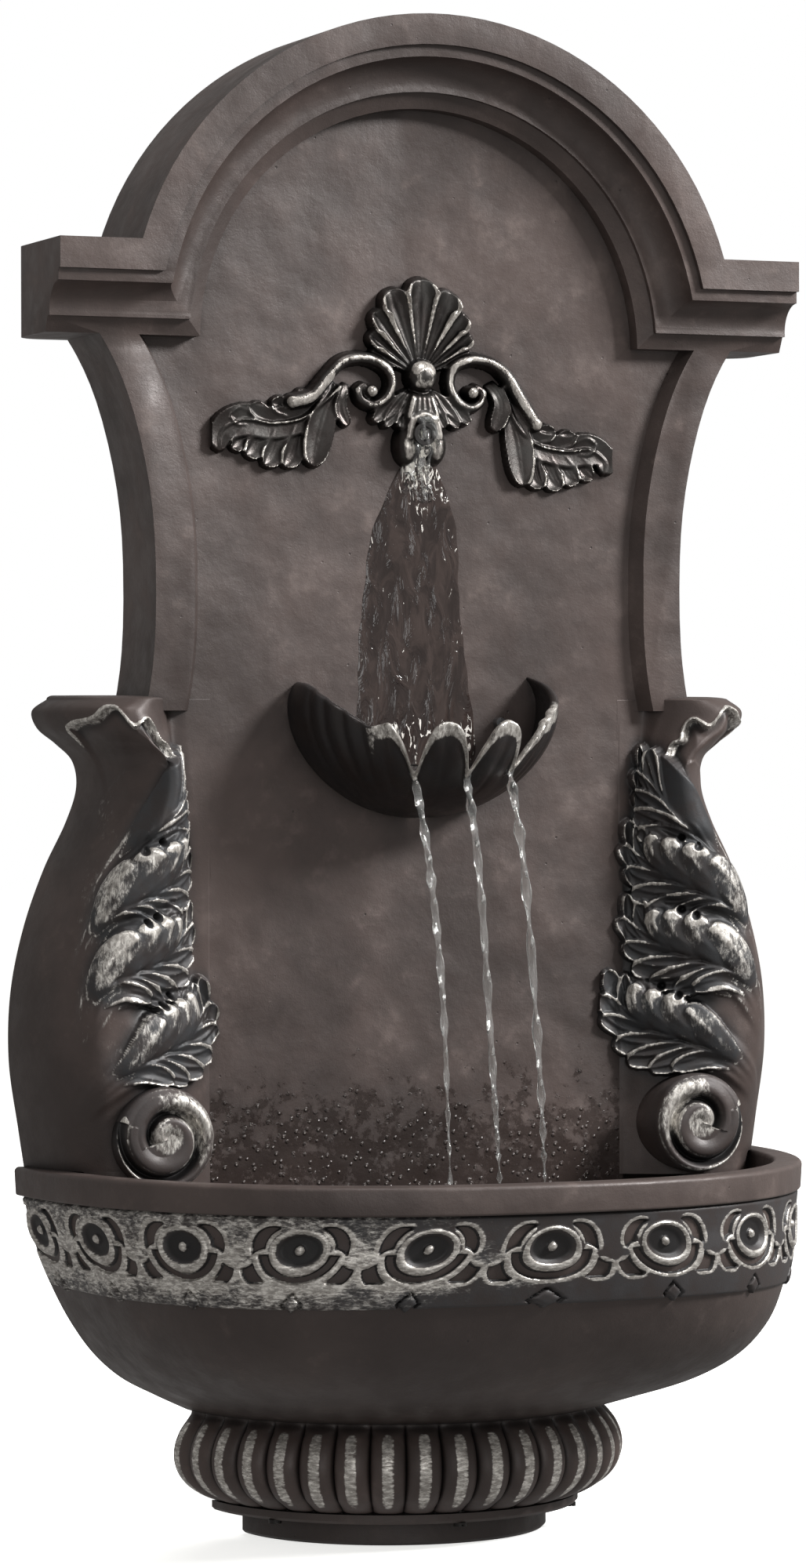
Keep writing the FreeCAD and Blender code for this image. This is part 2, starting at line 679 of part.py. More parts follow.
def make_strainer():
    x = pump_x[0] - cover_thickness
    y_low = pump_y[0] + 1
    y_high = pump_y[1] - 1
    z_low = pump_z[0] + 1
    z_high = pump_z[1] - 1
    body = box((x - strainer_depth, x), (y_low, y_high), (z_low, z_high))
    body = body.makeFillet(3.0, [e for e in body.Edges if e.CenterOfMass.x < x - 6])
    body = body.cut(box((x - 9.5, x + 1), (y_low + 2.2, y_high - 2.2), (z_low + 2.2, z_high - 2.2)))
    y, z = pump_axis
    # slots beside the dial, and rows of slots above and below
    for dy in (-20, -15, 15, 20):
        body = body.cut(box((x - 14, x - 9), (y + dy - 1.1, y + dy + 1.1), (z - 14, z + 14)))
    for k in range(4):
        slot_y = y_low + 8 + 9.5 * k
        body = body.cut(box((x - 8, x - 3), (slot_y, slot_y + 2.4), (z_low - 1, z_low + 3)))
        body = body.cut(box((x - 8, x - 3), (slot_y, slot_y + 2.4), (z_high - 3, z_high + 1)))
    return body.cut(rod(3.06, (x - 14, y, z), (x - 9, y, z)))


def make_flow_dial():
    x = pump_x[0] - cover_thickness - strainer_depth
    y, z = pump_axis
    disc = rod(10.5, (x - 2.8, y, z), (x - 0.2, y, z))
    grip = box((x - 7, x - 2.5), (y - 1.6, y + 1.6), (z - 8.5, z + 8.5))
    stem = rod(3.0, (x - 1, y, z), (x + 4.4, y, z))
    catch = cone(3.0, 4.2, (x + 3, y, z), (x + 4.4, y, z))
    return fuse([disc, grip, stem, catch])


def make_drain_parts():
    x, y = drain
    flange = ring(13.5, drain_bore, (x, y, 80), (x, y, 82.5))
    bush = fuse([flange, ring(drain_neck, drain_bore, (x, y, 46), (x, y, 81))])
    nut = hex_prism(24, (x, y, 52), (0, 0, 1), 8).cut(rod(drain_neck, (x, y, 50), (x, y, 62)))
    plug_radius = drain_bore - 0.07
    plug = [rod(plug_radius, (x, y, 64), (x, y, 82.5)), cone(plug_radius, 5.5, (x, y, 64), (x, y, 61))]
    plug += [rod(11.5, (x, y, 82.5), (x, y, 85.5)), cone(3.6, 2.6, (x, y, 85.5), (x, y, 92))]
    plug += [Part.makeSphere(5.0, Vector(x, y, 95))]
    return bush, nut, fuse(plug)


def make_gland_parts():
    x, y = gland
    collar = ring(11, 3.5, (x, y, 80), (x, y, 83))
    neck = ring(gland_neck, 3.5, (x, y, 48), (x, y, 82))
    sleeve = cone(6.5, 5, (x, y, 83), (x, y, 91)).cut(rod(3.5, (x, y, 82), (x, y, 92)))
    nut = hex_prism(20, (x, y, 53), (0, 0, 1), 7).cut(rod(gland_neck, (x, y, 50), (x, y, 62)))
    return fuse([collar, neck, sleeve]), nut


def make_hangers():
    plates = []
    screws = []
    for x in (-hanger_half_spacing, hanger_half_spacing):
        plate = box((x - 12, x + 12), (-plate_thickness, 0), (hanger_height - 29, hanger_height + 20))
        plate = plate.makeFillet(5, [e for e in plate.Edges if abs(e.tangentAt(e.FirstParameter).y) > 0.9])
        plate = plate.cut(rod(hanger_hole_radius, (x, 1, hanger_height), (x, -4, hanger_height)))
        for dz in plate_screw_z:
            z = hanger_height + dz
            plate = plate.cut(rod(2.0, (x, 1, z), (x, -4, z))).cut(cone(3.8, 2.0, (x, 0, z), (x, -2, z)))
            screws.append(fuse([rod(1.5, (x, -2, z), (x, -15, z)), cone(3.6, 1.5, (x, -0.1, z), (x, -2.1, z))]))
        plates.append(plate)
    return Part.makeCompound(plates), Part.makeCompound(screws)


def make_clips():
    clips = []
    screws = []
    back = panel_back_y
    for x, z in clip_places:
        base = box((x - 22, x + 22), (back, back + 2.5), (z - 5, z + 5))
        block = box((x - 8.5, x + 8.5), (back, tube_y + 4), (z - 5, z + 5))
        groove = rod(tube_radius + 0.2, (x, tube_y - 0.1, z - 6), (x, tube_y - 0.1, z + 6))
        body = fuse([base, block]).cut(groove)
        for hole_x in (x - clip_screw_x, x + clip_screw_x):
            body = body.cut(rod(1.6, (hole_x, back - 1, z), (hole_x, back + 4, z)))
            screws.append(screw(1.4, 3.0, (hole_x, back - 3.6, z), (hole_x, back + 2.5, z), 1.8))
        clips.append(body)
    return Part.makeCompound(clips), Part.makeCompound(screws)


def both(shape):
    return Part.makeCompound([mirror_x(shape), shape])


def make_bowl_fixings():
    # a stud, a washer and a nut at each side, inside the hollow back
    studs = []
    washers = []
    nuts = []
    z = bowl_stud_z
    washer_y = panel_back_y + 1.4
    for x in (-bowl_stud_x, bowl_stud_x):
        studs.append(rod(bowl_stud_radius, (x, -45.8, z), (x, -21, z)))
        washers.append(ring(6.5, bowl_stud_radius, (x, panel_back_y, z), (x, washer_y, z)))
        nut = hex_prism(8, (x, washer_y, z), (0, 1, 0), 4)
        nuts.append(nut.cut(rod(bowl_stud_radius, (x, -40, z), (x, -20, z))))
    return Part.makeCompound(studs), Part.makeCompound(washers), Part.makeCompound(nuts)


def make_volute_screws():
    # from the hollow back sideways into each volute, and up through the basin ledge
    inner = lower_half_width - wall - 0.5
    y = volute_screw_y
    side = [screw(2.0, 4.5, (136, y, z), (inner, y, z), 2.6) for z in volute_screw_z]
    x, y = ledge_screw
    washer_z = rim_top_z - ledge_thickness - 1.2
    ledge = screw(2.2, 5.0, (x, y, 221), (x, y, washer_z), 3.0)
    washer = ring(7.0, 2.7, (x, y, washer_z), (x, y, washer_z + 1.2))
    return both(Part.makeCompound(side)), both(ledge), both(washer)


def make_foot_bolts():
    x = foot_bolt_x
    y = foot_bolt_y
    r = foot_bolt_radius
    bolt = fuse([rod(r, (x, y, 50), (x, y, 82)), hex_prism(10, (x, y, 81.8), (0, 0, 1), 4.2)])
    washer = ring(8.0, r, (x, y, 80), (x, y, 81.8))
    nut = hex_prism(10, (x, y, 55), (0, 0, 1), 5).cut(rod(r, (x, y, 50), (x, y, 64)))
    return both(bolt), both(washer), both(nut)


def make_outlet_adapter():
    x = outlet_x
    y = pump_y[1]
    z = outlet_z
    barb = ring(tube_bore, 3.2, (x, y - 8, z), (x, y + outlet_length, z))
    return fuse([barb, ring(7.0, 4.0, (x, y, z), (x, y + 2, z))])


def make_suction_feet():
    cups = []
    for x, y in foot_places:
        cup = cone(7.0, 3.2, (x, y, basin_floor_z), (x, y, 84))
        cups.append(fuse([rod(2.0, (x, y, 88), (x, y, 95)), cup, rod(3.2, (x, y, 84), (x, y, pump_z[0]))]))
    return Part.makeCompound(cups)


def make_hose_clamps():
    y = pump_y[1] + 4
    low = ring(7.2, tube_radius, (outlet_x, y, outlet_z), (outlet_x, y + 7, outlet_z))
    high = ring(7.2, tube_radius, (0, tube_y, 552), (0, tube_y, 559))
    return Part.makeCompound([low, high])


def save_castings():
    save("backboard", make_backboard())
    waist = Part.Face(waist_outline(0, 0)).extrude(Vector(0, band_y, 0))
    lower = box((-lower_half_width, lower_half_width), (panel_y, 0), (100, waist_bottom_z))
    volute, spray = make_volute_parts(fuse([waist, lower]))
    leaf = make_crest_leaf()
    pairs = {"volute": volute, "acanthus": spray, "scroll": make_scroll(), "crest_leaf": leaf}
    for name, shape in pairs.items():
        save(name + "_right", shape)
        save(name + "_left", mirror_x(shape))
    crest_shell = make_crest_shell()
    save("crest_shell", crest_shell)
    save("spout_mask", make_spout_mask().cut(crest_shell).cut(leaf).cut(mirror_x(leaf)))
    save("shell_bowl", make_shell_bowl())
    save("basin", make_basin())
    save("gadrooned_foot", make_foot())
    save("foot_plinth", make_plinth())


def save_fasteners():
    for names, shapes in (
            (("hanger_plates", "hanger_screws"), make_hangers()),
            (("tube_clips", "tube_clip_screws"), make_clips()),
            (("bowl_studs", "bowl_washers", "bowl_nuts"), make_bowl_fixings()),
            (("volute_screws", "ledge_screws", "ledge_washers"), make_volute_screws()),
            (("foot_bolts", "foot_seal_washers", "foot_nuts"), make_foot_bolts())):
        for name, shape in zip(names, shapes):
            save(name, shape)
    plinth_screws = [screw(1.8, 3.4, (x, y, 29.5), (x, y, 13), 2.0) for x, y in plinth_screw_places()]
    save("plinth_screws", Part.makeCompound(plinth_screws))


def save_water_path():
    save("supply_tube", make_tube())
    save("spout_nozzle", make_nozzle())
    thread = rod(6.0, (0, -50, spout_z), (0, -10, spout_z))
    save("spout_nut", hex_prism(18, (0, panel_back_y, spout_z), (0, 1, 0), 5).cut(thread))
    for names, shapes in ((("drain_bush", "drain_nut", "drain_plug"), make_drain_parts()),
                          (("cord_gland", "gland_nut"), make_gland_parts())):
        for name, shape in zip(names, shapes):
            save(name, shape)
    y, z = pump_axis
    x = pump_x[0]
    save("pump_housing", make_pump_housing())
    save("pump_cover", make_pump_cover())
    save("impeller", make_impeller())
    save("pump_shaft", rod(shaft_radius, (x - 2, y, z), (x + shaft_end, y, z)))
    save("shaft_bush", ring(2.5, shaft_radius, (x - 2.5, y, z), (x, y, z)))
    save("strainer_cover", make_strainer())
    save("flow_dial", make_flow_dial())
    save("outlet_adapter", make_outlet_adapter())
    save("suction_feet", make_suction_feet())
    save("hose_clamps", make_hose_clamps())


os.makedirs("parts", exist_ok=True)
save_castings()
save_fasteners()
save_water_path()
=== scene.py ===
import json
import math
from functools import partial

import bmesh
import bpy
import numpy as np
from mathutils import Matrix, Vector


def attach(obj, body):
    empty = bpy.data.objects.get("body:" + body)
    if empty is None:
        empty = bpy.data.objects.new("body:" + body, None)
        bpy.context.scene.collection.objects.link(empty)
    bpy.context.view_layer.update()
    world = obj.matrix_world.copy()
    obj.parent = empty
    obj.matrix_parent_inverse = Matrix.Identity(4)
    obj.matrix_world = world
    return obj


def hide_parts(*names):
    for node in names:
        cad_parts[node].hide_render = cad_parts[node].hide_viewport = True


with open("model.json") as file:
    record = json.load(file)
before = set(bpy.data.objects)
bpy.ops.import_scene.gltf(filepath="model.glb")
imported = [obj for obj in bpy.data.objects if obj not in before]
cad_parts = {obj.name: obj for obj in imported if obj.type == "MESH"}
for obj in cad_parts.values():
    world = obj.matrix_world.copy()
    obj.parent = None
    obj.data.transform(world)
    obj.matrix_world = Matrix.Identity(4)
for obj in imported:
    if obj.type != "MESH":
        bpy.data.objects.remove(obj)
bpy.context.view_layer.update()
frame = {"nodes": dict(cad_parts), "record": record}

# Sizes are in millimetres, and heights are measured from the underside of the foot.
hangerHeight = 640.0
panelY = -41.0


def at(x, y, z):
    return Vector((x, y, z - hangerHeight)) * 0.001


# Small tools shared by the pieces

def smoothThrough(rows, t):
    # a smooth curve through rows of numbers, for an array of t from 0 to 1
    rows = np.asarray(rows, float)
    place = np.clip(np.asarray(t, float), 0, 1) * (len(rows) - 1)
    k = np.minimum(place.astype(int), len(rows) - 2)
    f = (place - k)[..., None]
    before = rows[np.maximum(k - 1, 0)]
    here = rows[k]
    there = rows[k + 1]
    after = rows[np.minimum(k + 2, len(rows) - 1)]
    bend = (2 * before - 5 * here + 4 * there - after) * f * f
    turn = (3 * here - before - 3 * there + after) * f ** 3
    return 0.5 * (2 * here + (there - before) * f + bend + turn)


def smoothStep(low, high, value):
    t = np.clip((value - low) / (high - low), 0, 1)
    return t * t * (3 - 2 * t)


def addGrid(bm, columns, rows, place):
    # a grid whose points go to place(u, v), in millimetres, with u and v from 0 to 1
    made = bmesh.ops.create_grid(bm, x_segments=columns, y_segments=rows, size=0.5)
    verts = made["verts"]
    u = np.array([v.co.x for v in verts]) + 0.5
    v = np.array([v.co.y for v in verts]) + 0.5
    x, y, z = place(u, v)
    for vert, px, py, pz in zip(verts, x, y, z):
        vert.co = at(px, py, pz)


def newObject(name, data):
    made = bpy.data.objects.new(name, data)
    bpy.context.scene.collection.objects.link(made)
    return made


def makePiece(bm, name, material, sharpAngle=50):
    # joined up, facing outwards, smooth below an angle in degrees, and on the fixed body
    bmesh.ops.remove_doubles(bm, verts=bm.verts, dist=2e-6)
    bmesh.ops.recalc_face_normals(bm, faces=bm.faces)
    mesh = bpy.data.meshes.new(name)
    bm.to_mesh(mesh)
    bm.free()
    mesh.shade_smooth()
    mesh.set_sharp_from_angle(angle=math.radians(sharpAngle))
    piece = newObject(name, mesh)
    mesh.materials.append(material)
    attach(piece, "root")
    return piece


# Relief sheets: one closed skin whose points are moved along their normals by a height map in mm

def softMap(values, reach):
    # running mean along both directions of a map
    for axis in (0, 1):
        padded = np.pad(values, [(reach + 1, reach) if k == axis else (0, 0) for k in (0, 1)], mode="edge")
        run = np.cumsum(padded, axis=axis)
        count = values.shape[axis]
        high = np.take(run, np.arange(2 * reach + 1, 2 * reach + 1 + count), axis=axis)
        low = np.take(run, np.arange(0, count), axis=axis)
        values = (high - low) / (2 * reach + 1)
    return values


def newSheet(across, up, level=0.0):
    maps = {"across": across, "up": up, "relief": np.full_like(up, level)}
    maps.update({name: np.zeros_like(up) for name in ("paint", "leaf")})
    return maps


def alongLine(across, up, line, reach, samples=60):
    # for the points of a map within reach of a smooth line: which they are, their share of the way along it
    # and their distance to its left
    points = smoothThrough(line, np.linspace(0, 1, samples))
    low = points.min(0) - reach
    high = points.max(0) + reach
    near = np.nonzero((across > low[0]) & (across < high[0]) & (up > low[1]) & (up < high[1]))
    place = np.stack([across[near], up[near]], axis=1)
    gap = place[:, None, :] - points[None, :, :]
    k = np.argmin((gap ** 2).sum(2), axis=1)
    tangent = np.gradient(points, axis=0)
    length = np.hypot(*tangent.T)
    tangent = tangent / length[:, None]
    away = gap[np.arange(len(k)), k]
    forward = (away * tangent[k]).sum(1)
    left = tangent[k, 0] * away[:, 1] - tangent[k, 1] * away[:, 0]
    share = np.clip((k + np.clip(forward / length[k], -0.5, 0.5)) / (samples - 1), 0, 1)
    beyond = np.where(((k == 0) & (forward < 0)) | ((k == samples - 1) & (forward > 0)), np.abs(forward), 0)
    return near, share, left, beyond


def layOn(sheet, near, height, inside, paint=0.0):
    # carved work shows where it stands above what is there
    rows = tuple(axis[inside] for axis in near)
    height = height[inside]
    paint = np.broadcast_to(paint, inside.shape)[inside]
    higher = height > sheet["relief"][rows]
    rows = tuple(axis[higher] for axis in rows)
    sheet["relief"][rows] = height[higher]
    sheet["paint"][rows] = paint[higher]
    sheet["leaf"][rows] = 1


def lobeWidth(share, width, point, root):
    # full at two thirds of the length, and round (0) to pointed (1) at the tip
    body = root + (1 - root) * smoothStep(0, 0.6, share)
    end = np.clip((share - 0.62) / 0.38, 0, 1)
    return width * body * np.clip(1 - end ** (2.3 - point), 0, 1) ** (0.6 + 0.3 * point)


def addLobe(sheet, line, width, height, lift, curl=2.0, paint=0.0, point=0.0, root=0.6):
    # a scooped leaflet, whose raised edges meet its neighbours' in ridges, and whose tip lifts and curls
    near, share, left, beyond = alongLine(sheet["across"], sheet["up"], line, width + 2)
    half = np.maximum(lobeWidth(share, width, point, root), 0.05)
    a = np.abs(left) / half
    hollow = height * (a ** 1.7 - 0.35) * smoothStep(0.0, 0.3, share)
    vein = 0.3 * height * np.exp(-(left / 0.6) ** 2) * (1 - share)
    edge = 0.7 * smoothStep(0.9, 1.0, a) + 0.7 * smoothStep(0.95, 1.0, share)
    rise = lift * smoothStep(-0.15, 0.35, share) + curl * share ** 3
    layOn(sheet, near, rise + hollow + vein - edge, (a < 1) & (beyond < 0.3), paint * smoothStep(0.2, 0.6, share))


def addKnuckle(sheet, line, width, height, lift, flutes=3, paint=0.35):
    # a rounded fold of the leaf's edge, with flutes that run over it
    near, share, left, beyond = alongLine(sheet["across"], sheet["up"], line, width + 2)
    half = np.maximum(lobeWidth(share, width, 0.0, 0.3), 0.05)
    a = np.clip(np.abs(left) / half, 0, 1)
    dome = np.sqrt(1 - a ** 2) * height * (0.15 + 0.85 * smoothStep(0, 0.75, share))
    flute = 0.5 * np.abs(np.sin(np.pi * flutes * left / (2 * half))) * smoothStep(0.15, 0.6, share)
    rise = lift * smoothStep(0, 0.4, share) - 0.5 * height * smoothStep(0.88, 1.0, share)
    layOn(sheet, near, rise + dome - flute, (a < 1) & (beyond < 0.3), paint * smoothStep(0.2, 0.7, share))


def addStrand(sheet, line, width, height, lift=0.0, taper=1.0, paint=0.0):
    # a rounded cord that lies along a line and narrows toward its end
    near, share, left, beyond = alongLine(sheet["across"], sheet["up"], line, width + 2, samples=90)
    half = width * (1 - (1 - taper) * share)
    a = np.clip(np.hypot(left, beyond) / half, 0, 1)
    inside = np.hypot(left, beyond) < half
    layOn(sheet, near, lift + height * (half / width) * np.sqrt(1 - a ** 2), inside, paint)


def addFold(sheet, line, width, height):
    # a soft fold or furrow: added to what is there, and gone at both ends
    near, share, left, _ = alongLine(sheet["across"], sheet["up"], line, 3 * width)
    ends = smoothStep(0, 0.25, share) * smoothStep(1, 0.7, share)
    sheet["relief"][near] += height * np.exp(-(left / width) ** 2) * ends


def sinkHole(sheet, centre, radius, depth):
    gap = np.hypot(sheet["across"] - centre[0], sheet["up"] - centre[1])
    sheet["relief"] -= depth * (1 - smoothStep(0.55 * radius, radius, gap))
    sheet["paint"] -= 1 - smoothStep(0.8 * radius, 1.3 * radius, gap)


def brushMarks(sheet, reach=5, gain=1.3, outline=0.3):
    # what the material reads: crests in mm, hollows, leafwork, and paint that the brush left on outlines
    relief = sheet["relief"]
    leaf = sheet["leaf"]
    inLeaf = relief - softMap(softMap(relief * leaf, reach),
                              reach) / np.maximum(softMap(softMap(leaf, reach), reach), 0.01)
    crest = np.where(leaf > 0, inLeaf, relief - softMap(relief, reach))
    edge = leaf * (1 - softMap(leaf, 2))
    # hollows, lower than the surface round them, which the material paints darker: partly the wash pooled there,
    # partly painted shade
    hollow = smoothStep(0.5, 3.5, softMap(relief, 3 * reach) - relief)
    return {"relief": np.clip(gain * crest, -2, 2), "paint": sheet["paint"] + outline * smoothStep(0.1, 0.45, edge),
            "leaf": np.clip(1.6 * softMap(leaf, 2 * reach), 0, 1), "hollow": hollow}


def addSheet(bm, points, marks):
    # points are maps of rows by columns; marks may be smaller, and are 0 beyond their own rows and columns
    rows, columns = points[0].shape
    wide = {name: np.pad(m, ((0, rows - m.shape[0]), (0, columns - m.shape[1]))) for name, m in marks.items()}
    layers = {name: bm.verts.layers.float.new(name) for name in marks}
    made = bmesh.ops.create_grid(bm, x_segments=columns - 1, y_segments=rows - 1, size=0.5)
    for vert in made["verts"]:
        column = round((vert.co.x + 0.5) * (columns - 1))
        row = round((vert.co.y + 0.5) * (rows - 1))
        vert.co = at(*(axis[row, column] for axis in points))
        for name, layer in layers.items():
            vert[layer] = wide[name][row, column]


def closeEnds(bm):
    # joins the seam of a wrapped sheet and fills its ends
    bmesh.ops.remove_doubles(bm, verts=bm.verts, dist=2e-6)
    bmesh.ops.holes_fill(bm, edges=[e for e in bm.edges if e.is_boundary], sides=0)


# Materials

def toLinear(hexColour):
    parts = [int(hexColour[k:k + 2], 16) / 255 for k in (1, 3, 5)]
    return [c / 12.92 if c <= 0.04045 else ((c + 0.055) / 1.055) ** 2.4 for c in parts] + [1.0]


def setInputs(node, inputs):
    # by place or name, from values, hex colours or outputs of other nodes
    for key, value in inputs.items() if isinstance(inputs, dict) else enumerate(inputs):
        if isinstance(value, bpy.types.NodeSocket):
            node.id_data.links.new(value, node.inputs[key])
        else:
            node.inputs[key].default_value = toLinear(value) if isinstance(value, str) else value


def addNode(tree, kind, inputs=(), result=0, **settings):
    # one node with its settings and inputs; it gives back one output
    node = tree.nodes.new("ShaderNode" + kind)
    for key, value in settings.items():
        setattr(node, key, value)
    setInputs(node, inputs)
    return node.outputs[result] if len(node.outputs) else node


def newMaterial(name):
    material = bpy.data.materials.new(name)
    material.use_nodes = True
    material.node_tree.nodes.clear()
    add = partial(addNode, material.node_tree)
    surface = add("BsdfPrincipled")
    add("OutputMaterial", {"Surface": surface}).is_active_output = True
    return material, add, surface.node


def perMillimetre(size):
    # noise scale that makes a feature of this size in mm
    return 1000.0 / size


# settings that the patterns use again and again
eased = {"interpolation_type": "SMOOTHSTEP"}
inColour = {"data_type": "RGBA", "result": 2}
times, plus, minus = ({"operation": name} for name in ("MULTIPLY", "ADD", "SUBTRACT"))


def washColour(add, place, palette, cloudSize):
    # thin metal wash: soft clouds, worn patches and specks, each a little lighter
    sizes = ((cloudSize, 6, 0.62), (16, 6, 0.65), (0.9, 3, 0.7))
    clouds, patches, grain = (
        add("TexNoise", {"Vector": place, "Scale": perMillimetre(size), "Detail": detail, "Roughness": rough})
        for size, detail, rough in sizes)
    colour = add("Mix", {0: add("MapRange", (clouds, 0.34, 0.66), **eased), 6: palette["dark"],
                         7: palette["middle"]}, **inColour)
    worn = add("Math", (patches, add("Math", (clouds, 0.6), **times)), **plus)
    colour = add("Mix", {0: add("MapRange", (worn, 0.84, 1.12, 0, 0.62), **eased), 6: colour, 7: palette["worn"]},
                 **inColour)
    colour = add("Mix", {0: add("MapRange", (grain, 0.62, 0.78, 0, 0.3), **eased), 6: colour, 7: palette["worn"]},
                 **inColour)
    return colour, patches, grain


def paintCornerShade(add, colour, pitAndShade, reach, share):
    # painted shade in inner corners, darker where ambient occlusion finds the surface hemmed in, standing also for
    # grime the wash left there
    corners = add("AmbientOcclusion", {"Distance": reach / 1000}, result="AO", samples=6)
    return add("Mix", {0: add("MapRange", (corners, 0.25, 0.95, share, 0), **eased), 6: colour, 7: pitAndShade}, **inColour)


def finishShader(add, shader, colour, rough, metallic, height, strength, depth):
    bump = add("Bump", {"Strength": strength, "Distance": depth, "Height": height})
    setInputs(shader, {"Base Color": colour, "Roughness": rough, "Normal": bump, "Metallic": metallic})


def castMetalWash(name, palette, roughness, splashed=None, shadeBelow=None):
    # Cast resin under a thin brown-grey metal wash: mottled in soft clouds, with fine grain, small pits and
    # a dull sheen. The lowest part of the panel, which the water splashes, has small beads on it, with a
    # painted glint on the tip of each.
    material, add, shader = newMaterial(name)
    place = add("TexCoord", result="Object")
    colour, patches, grain = washColour(add, place, palette, 90)
    pits = add("TexVoronoi", {"Vector": place, "Scale": perMillimetre(11)}, feature="F1")
    pitMask = add("Math", (add("MapRange", (pits, 0.03, 0.07, 1, 0), **eased),
                           add("MapRange", (patches, 0.45, 0.6), **eased)), **times)
    colour = add("Mix", {0: add("Math", (pitMask, 0.7), **times), 6: colour, 7: palette["pitAndShade"]}, **inColour)
    dents = add("TexNoise", {"Vector": place, "Scale": perMillimetre(46), "Detail": 2, "Roughness": 0.55})
    height = add("Math", (add("Math", (grain, 0.12), **times), add("Math", (patches, 0.8), **times)), **plus)
    height = add("Math", (height, add("Math", (dents, 3.4), **times)), **plus)
    height = add("Math", (height, add("Math", (pitMask, 0.4), **times)), **minus)
    rough = add("MapRange", (patches, 0.3, 0.7, roughness - 0.07, roughness + 0.08), **eased)
    z = add("SeparateXYZ", (place,), result="Z")
    if splashed:
        bottom, top = ((level - hangerHeight) / 1000 for level in splashed)
        splash = add("TexNoise", {"Vector": place, "Scale": perMillimetre(14), "Detail": 7, "Roughness": 0.78})
        low = add("MapRange", (z, bottom, top, 0.22, -0.14), **eased)
        wet = add("MapRange", (add("Math", (splash, low), **plus), 0.6, 0.68), **eased)
        beads = add("TexVoronoi", {"Vector": place, "Scale": perMillimetre(4.2)}, feature="F1")
        bead = add("Math", (add("MapRange", (beads, 0.16, 0.34, 1, 0), **eased), wet), **times)
        # painted glint: a pale highlight on the tip of each bead
        paintedGlint = add("Math", (add("MapRange", (beads, 0.05, 0.12, 1, 0), **eased), wet), **times)
        height = add("Math", (height, add("Math", (bead, 1.2), **times)), **plus)
        rough = add("Math", (rough, add("Math", (wet, 0.28), **times)), **minus)
        colour = add("Mix", {0: add("Math", (wet, 0.45), **times), 6: colour, 7: palette["pitAndShade"]}, **inColour)
        colour = add("Mix", {0: add("Math", (paintedGlint, 0.9), **times), 6: colour, 7: palette["paintedGlint"]}, **inColour)
    if shadeBelow:
        low, high = ((level - hangerHeight) / 1000 for level in shadeBelow)
        colour = add("Mix", {0: add("MapRange", (z, low, high, 0.3, 0), **eased), 6: colour, 7: palette["pitAndShade"]},
                     **inColour)
    # painted shade in inner corners
    colour = paintCornerShade(add, colour, palette["pitAndShade"], 16, 0.75)
    finishShader(add, shader, colour, rough, 0.15, height, 0.55, 0.0012)
    return material


def drySilver(name, palette, crestLow, crestHigh, gain=1.0, sheen=0.15, roughness=0.5, streak=(1.0, 1.0, 0.4)):
    # Cast resin in a near-black wash, with pewter paint dragged over the high points by an almost dry brush:
    # ragged silver on every crest, dark leaves, and black in the hollows, partly the wash that pooled there and
    # partly painted shade, with painted shade in inner corners too.
    material, add, shader = newMaterial(name)
    place = add("TexCoord", result="Object")
    colour, patches, grain = washColour(add, place, palette, 90)
    leafColour = add("Mix", {0: add("MapRange", (patches, 0.35, 0.65), **eased), 6: palette["leaf"],
                             7: palette["cool"]}, **inColour)
    colour = add("Mix", {0: add("Attribute", result="Fac", attribute_name="leaf"), 6: colour, 7: leafColour},
                 **inColour)
    # hollows painted darker: partly the wash pooled there, partly painted shade
    colour = add("Mix", {0: add("Math", (add("Attribute", result="Fac", attribute_name="hollow"), 0.8), **times),
                         6: colour, 7: palette["hollowShade"]}, **inColour)
    drawn = add("Mapping", {"Vector": place, "Rotation": (0, 0.6, 0), "Scale": streak})
    bristle = add("TexNoise", {"Vector": drawn, "Scale": perMillimetre(2.0), "Detail": 6, "Roughness": 0.75,
                               "Distortion": 0.4})
    blotch = add("TexNoise", {"Vector": place, "Scale": perMillimetre(9), "Detail": 4, "Roughness": 0.6})
    crest = add("Math", (add("MapRange", (add("Attribute", result="Fac", attribute_name="relief"), crestLow,
                                          crestHigh), **eased),
                         add("Attribute", result="Fac", attribute_name="paint")), **plus)
    broken = add("Math", (add("Math", (bristle, 1.9), **times), add("Math", (blotch, 1.4), **times)), **plus)
    amount = add("Math", (add("Math", (crest, gain), **times), add("Math", (broken, 0.8), **minus)), **times)
    silver = add("MapRange", (amount, 0.26, 0.62), **eased)
    pewter = add("Mix", {0: add("MapRange", (bristle, 0.42, 0.66), **eased), 6: palette["pewter"],
                         7: palette["bright"]}, **inColour)
    # painted shade in inner corners
    colour = paintCornerShade(add, colour, palette["hollowShade"], 9, 0.85)
    colour = add("Mix", {0: silver, 6: colour, 7: pewter}, **inColour)
    bare = add("MapRange", (patches, 0.3, 0.7, roughness - 0.07, roughness + 0.08), **eased)
    rough = add("Math", (bare, add("Math", (silver, add("MapRange", (bristle, 0.3, 0.7, 0.02, 0.16), **eased)),
                                   **times)), **minus)
    height = add("Math", (add("Math", (grain, 0.2), **times), add("Math", (patches, 0.8), **times)), **plus)
    height = add("Math", (height, add("Math", (silver, 0.4), **times)), **plus)
    metallic = add("MapRange", (silver, 0, 1, sheen, 0.6), **eased)
    finishShader(add, shader, colour, rough, metallic, height, 0.55, 0.0007)
    return material


def plainFinish(name, hexColour, roughness, metallic=0.0, grain=0.6, depth=0.0001, variation="#000000"):
    # a fitting: an even colour with a fine grain of its own
    material, add, shader = newMaterial(name)
    place = add("TexCoord", result="Object")
    fine, broad = (add("TexNoise", {"Vector": place, "Scale": perMillimetre(size), "Detail": 3, "Roughness": 0.55})
                   for size in (grain, 14))
    colour = add("Mix", {0: add("MapRange", (broad, 0.35, 0.7, 0, 0.22), **eased), 6: hexColour, 7: variation},
                 **inColour)
    rough = add("MapRange", (fine, 0.3, 0.7, roughness - 0.06, roughness + 0.08), **eased)
    finishShader(add, shader, colour, rough, metallic, fine, 0.4, depth)
    return material
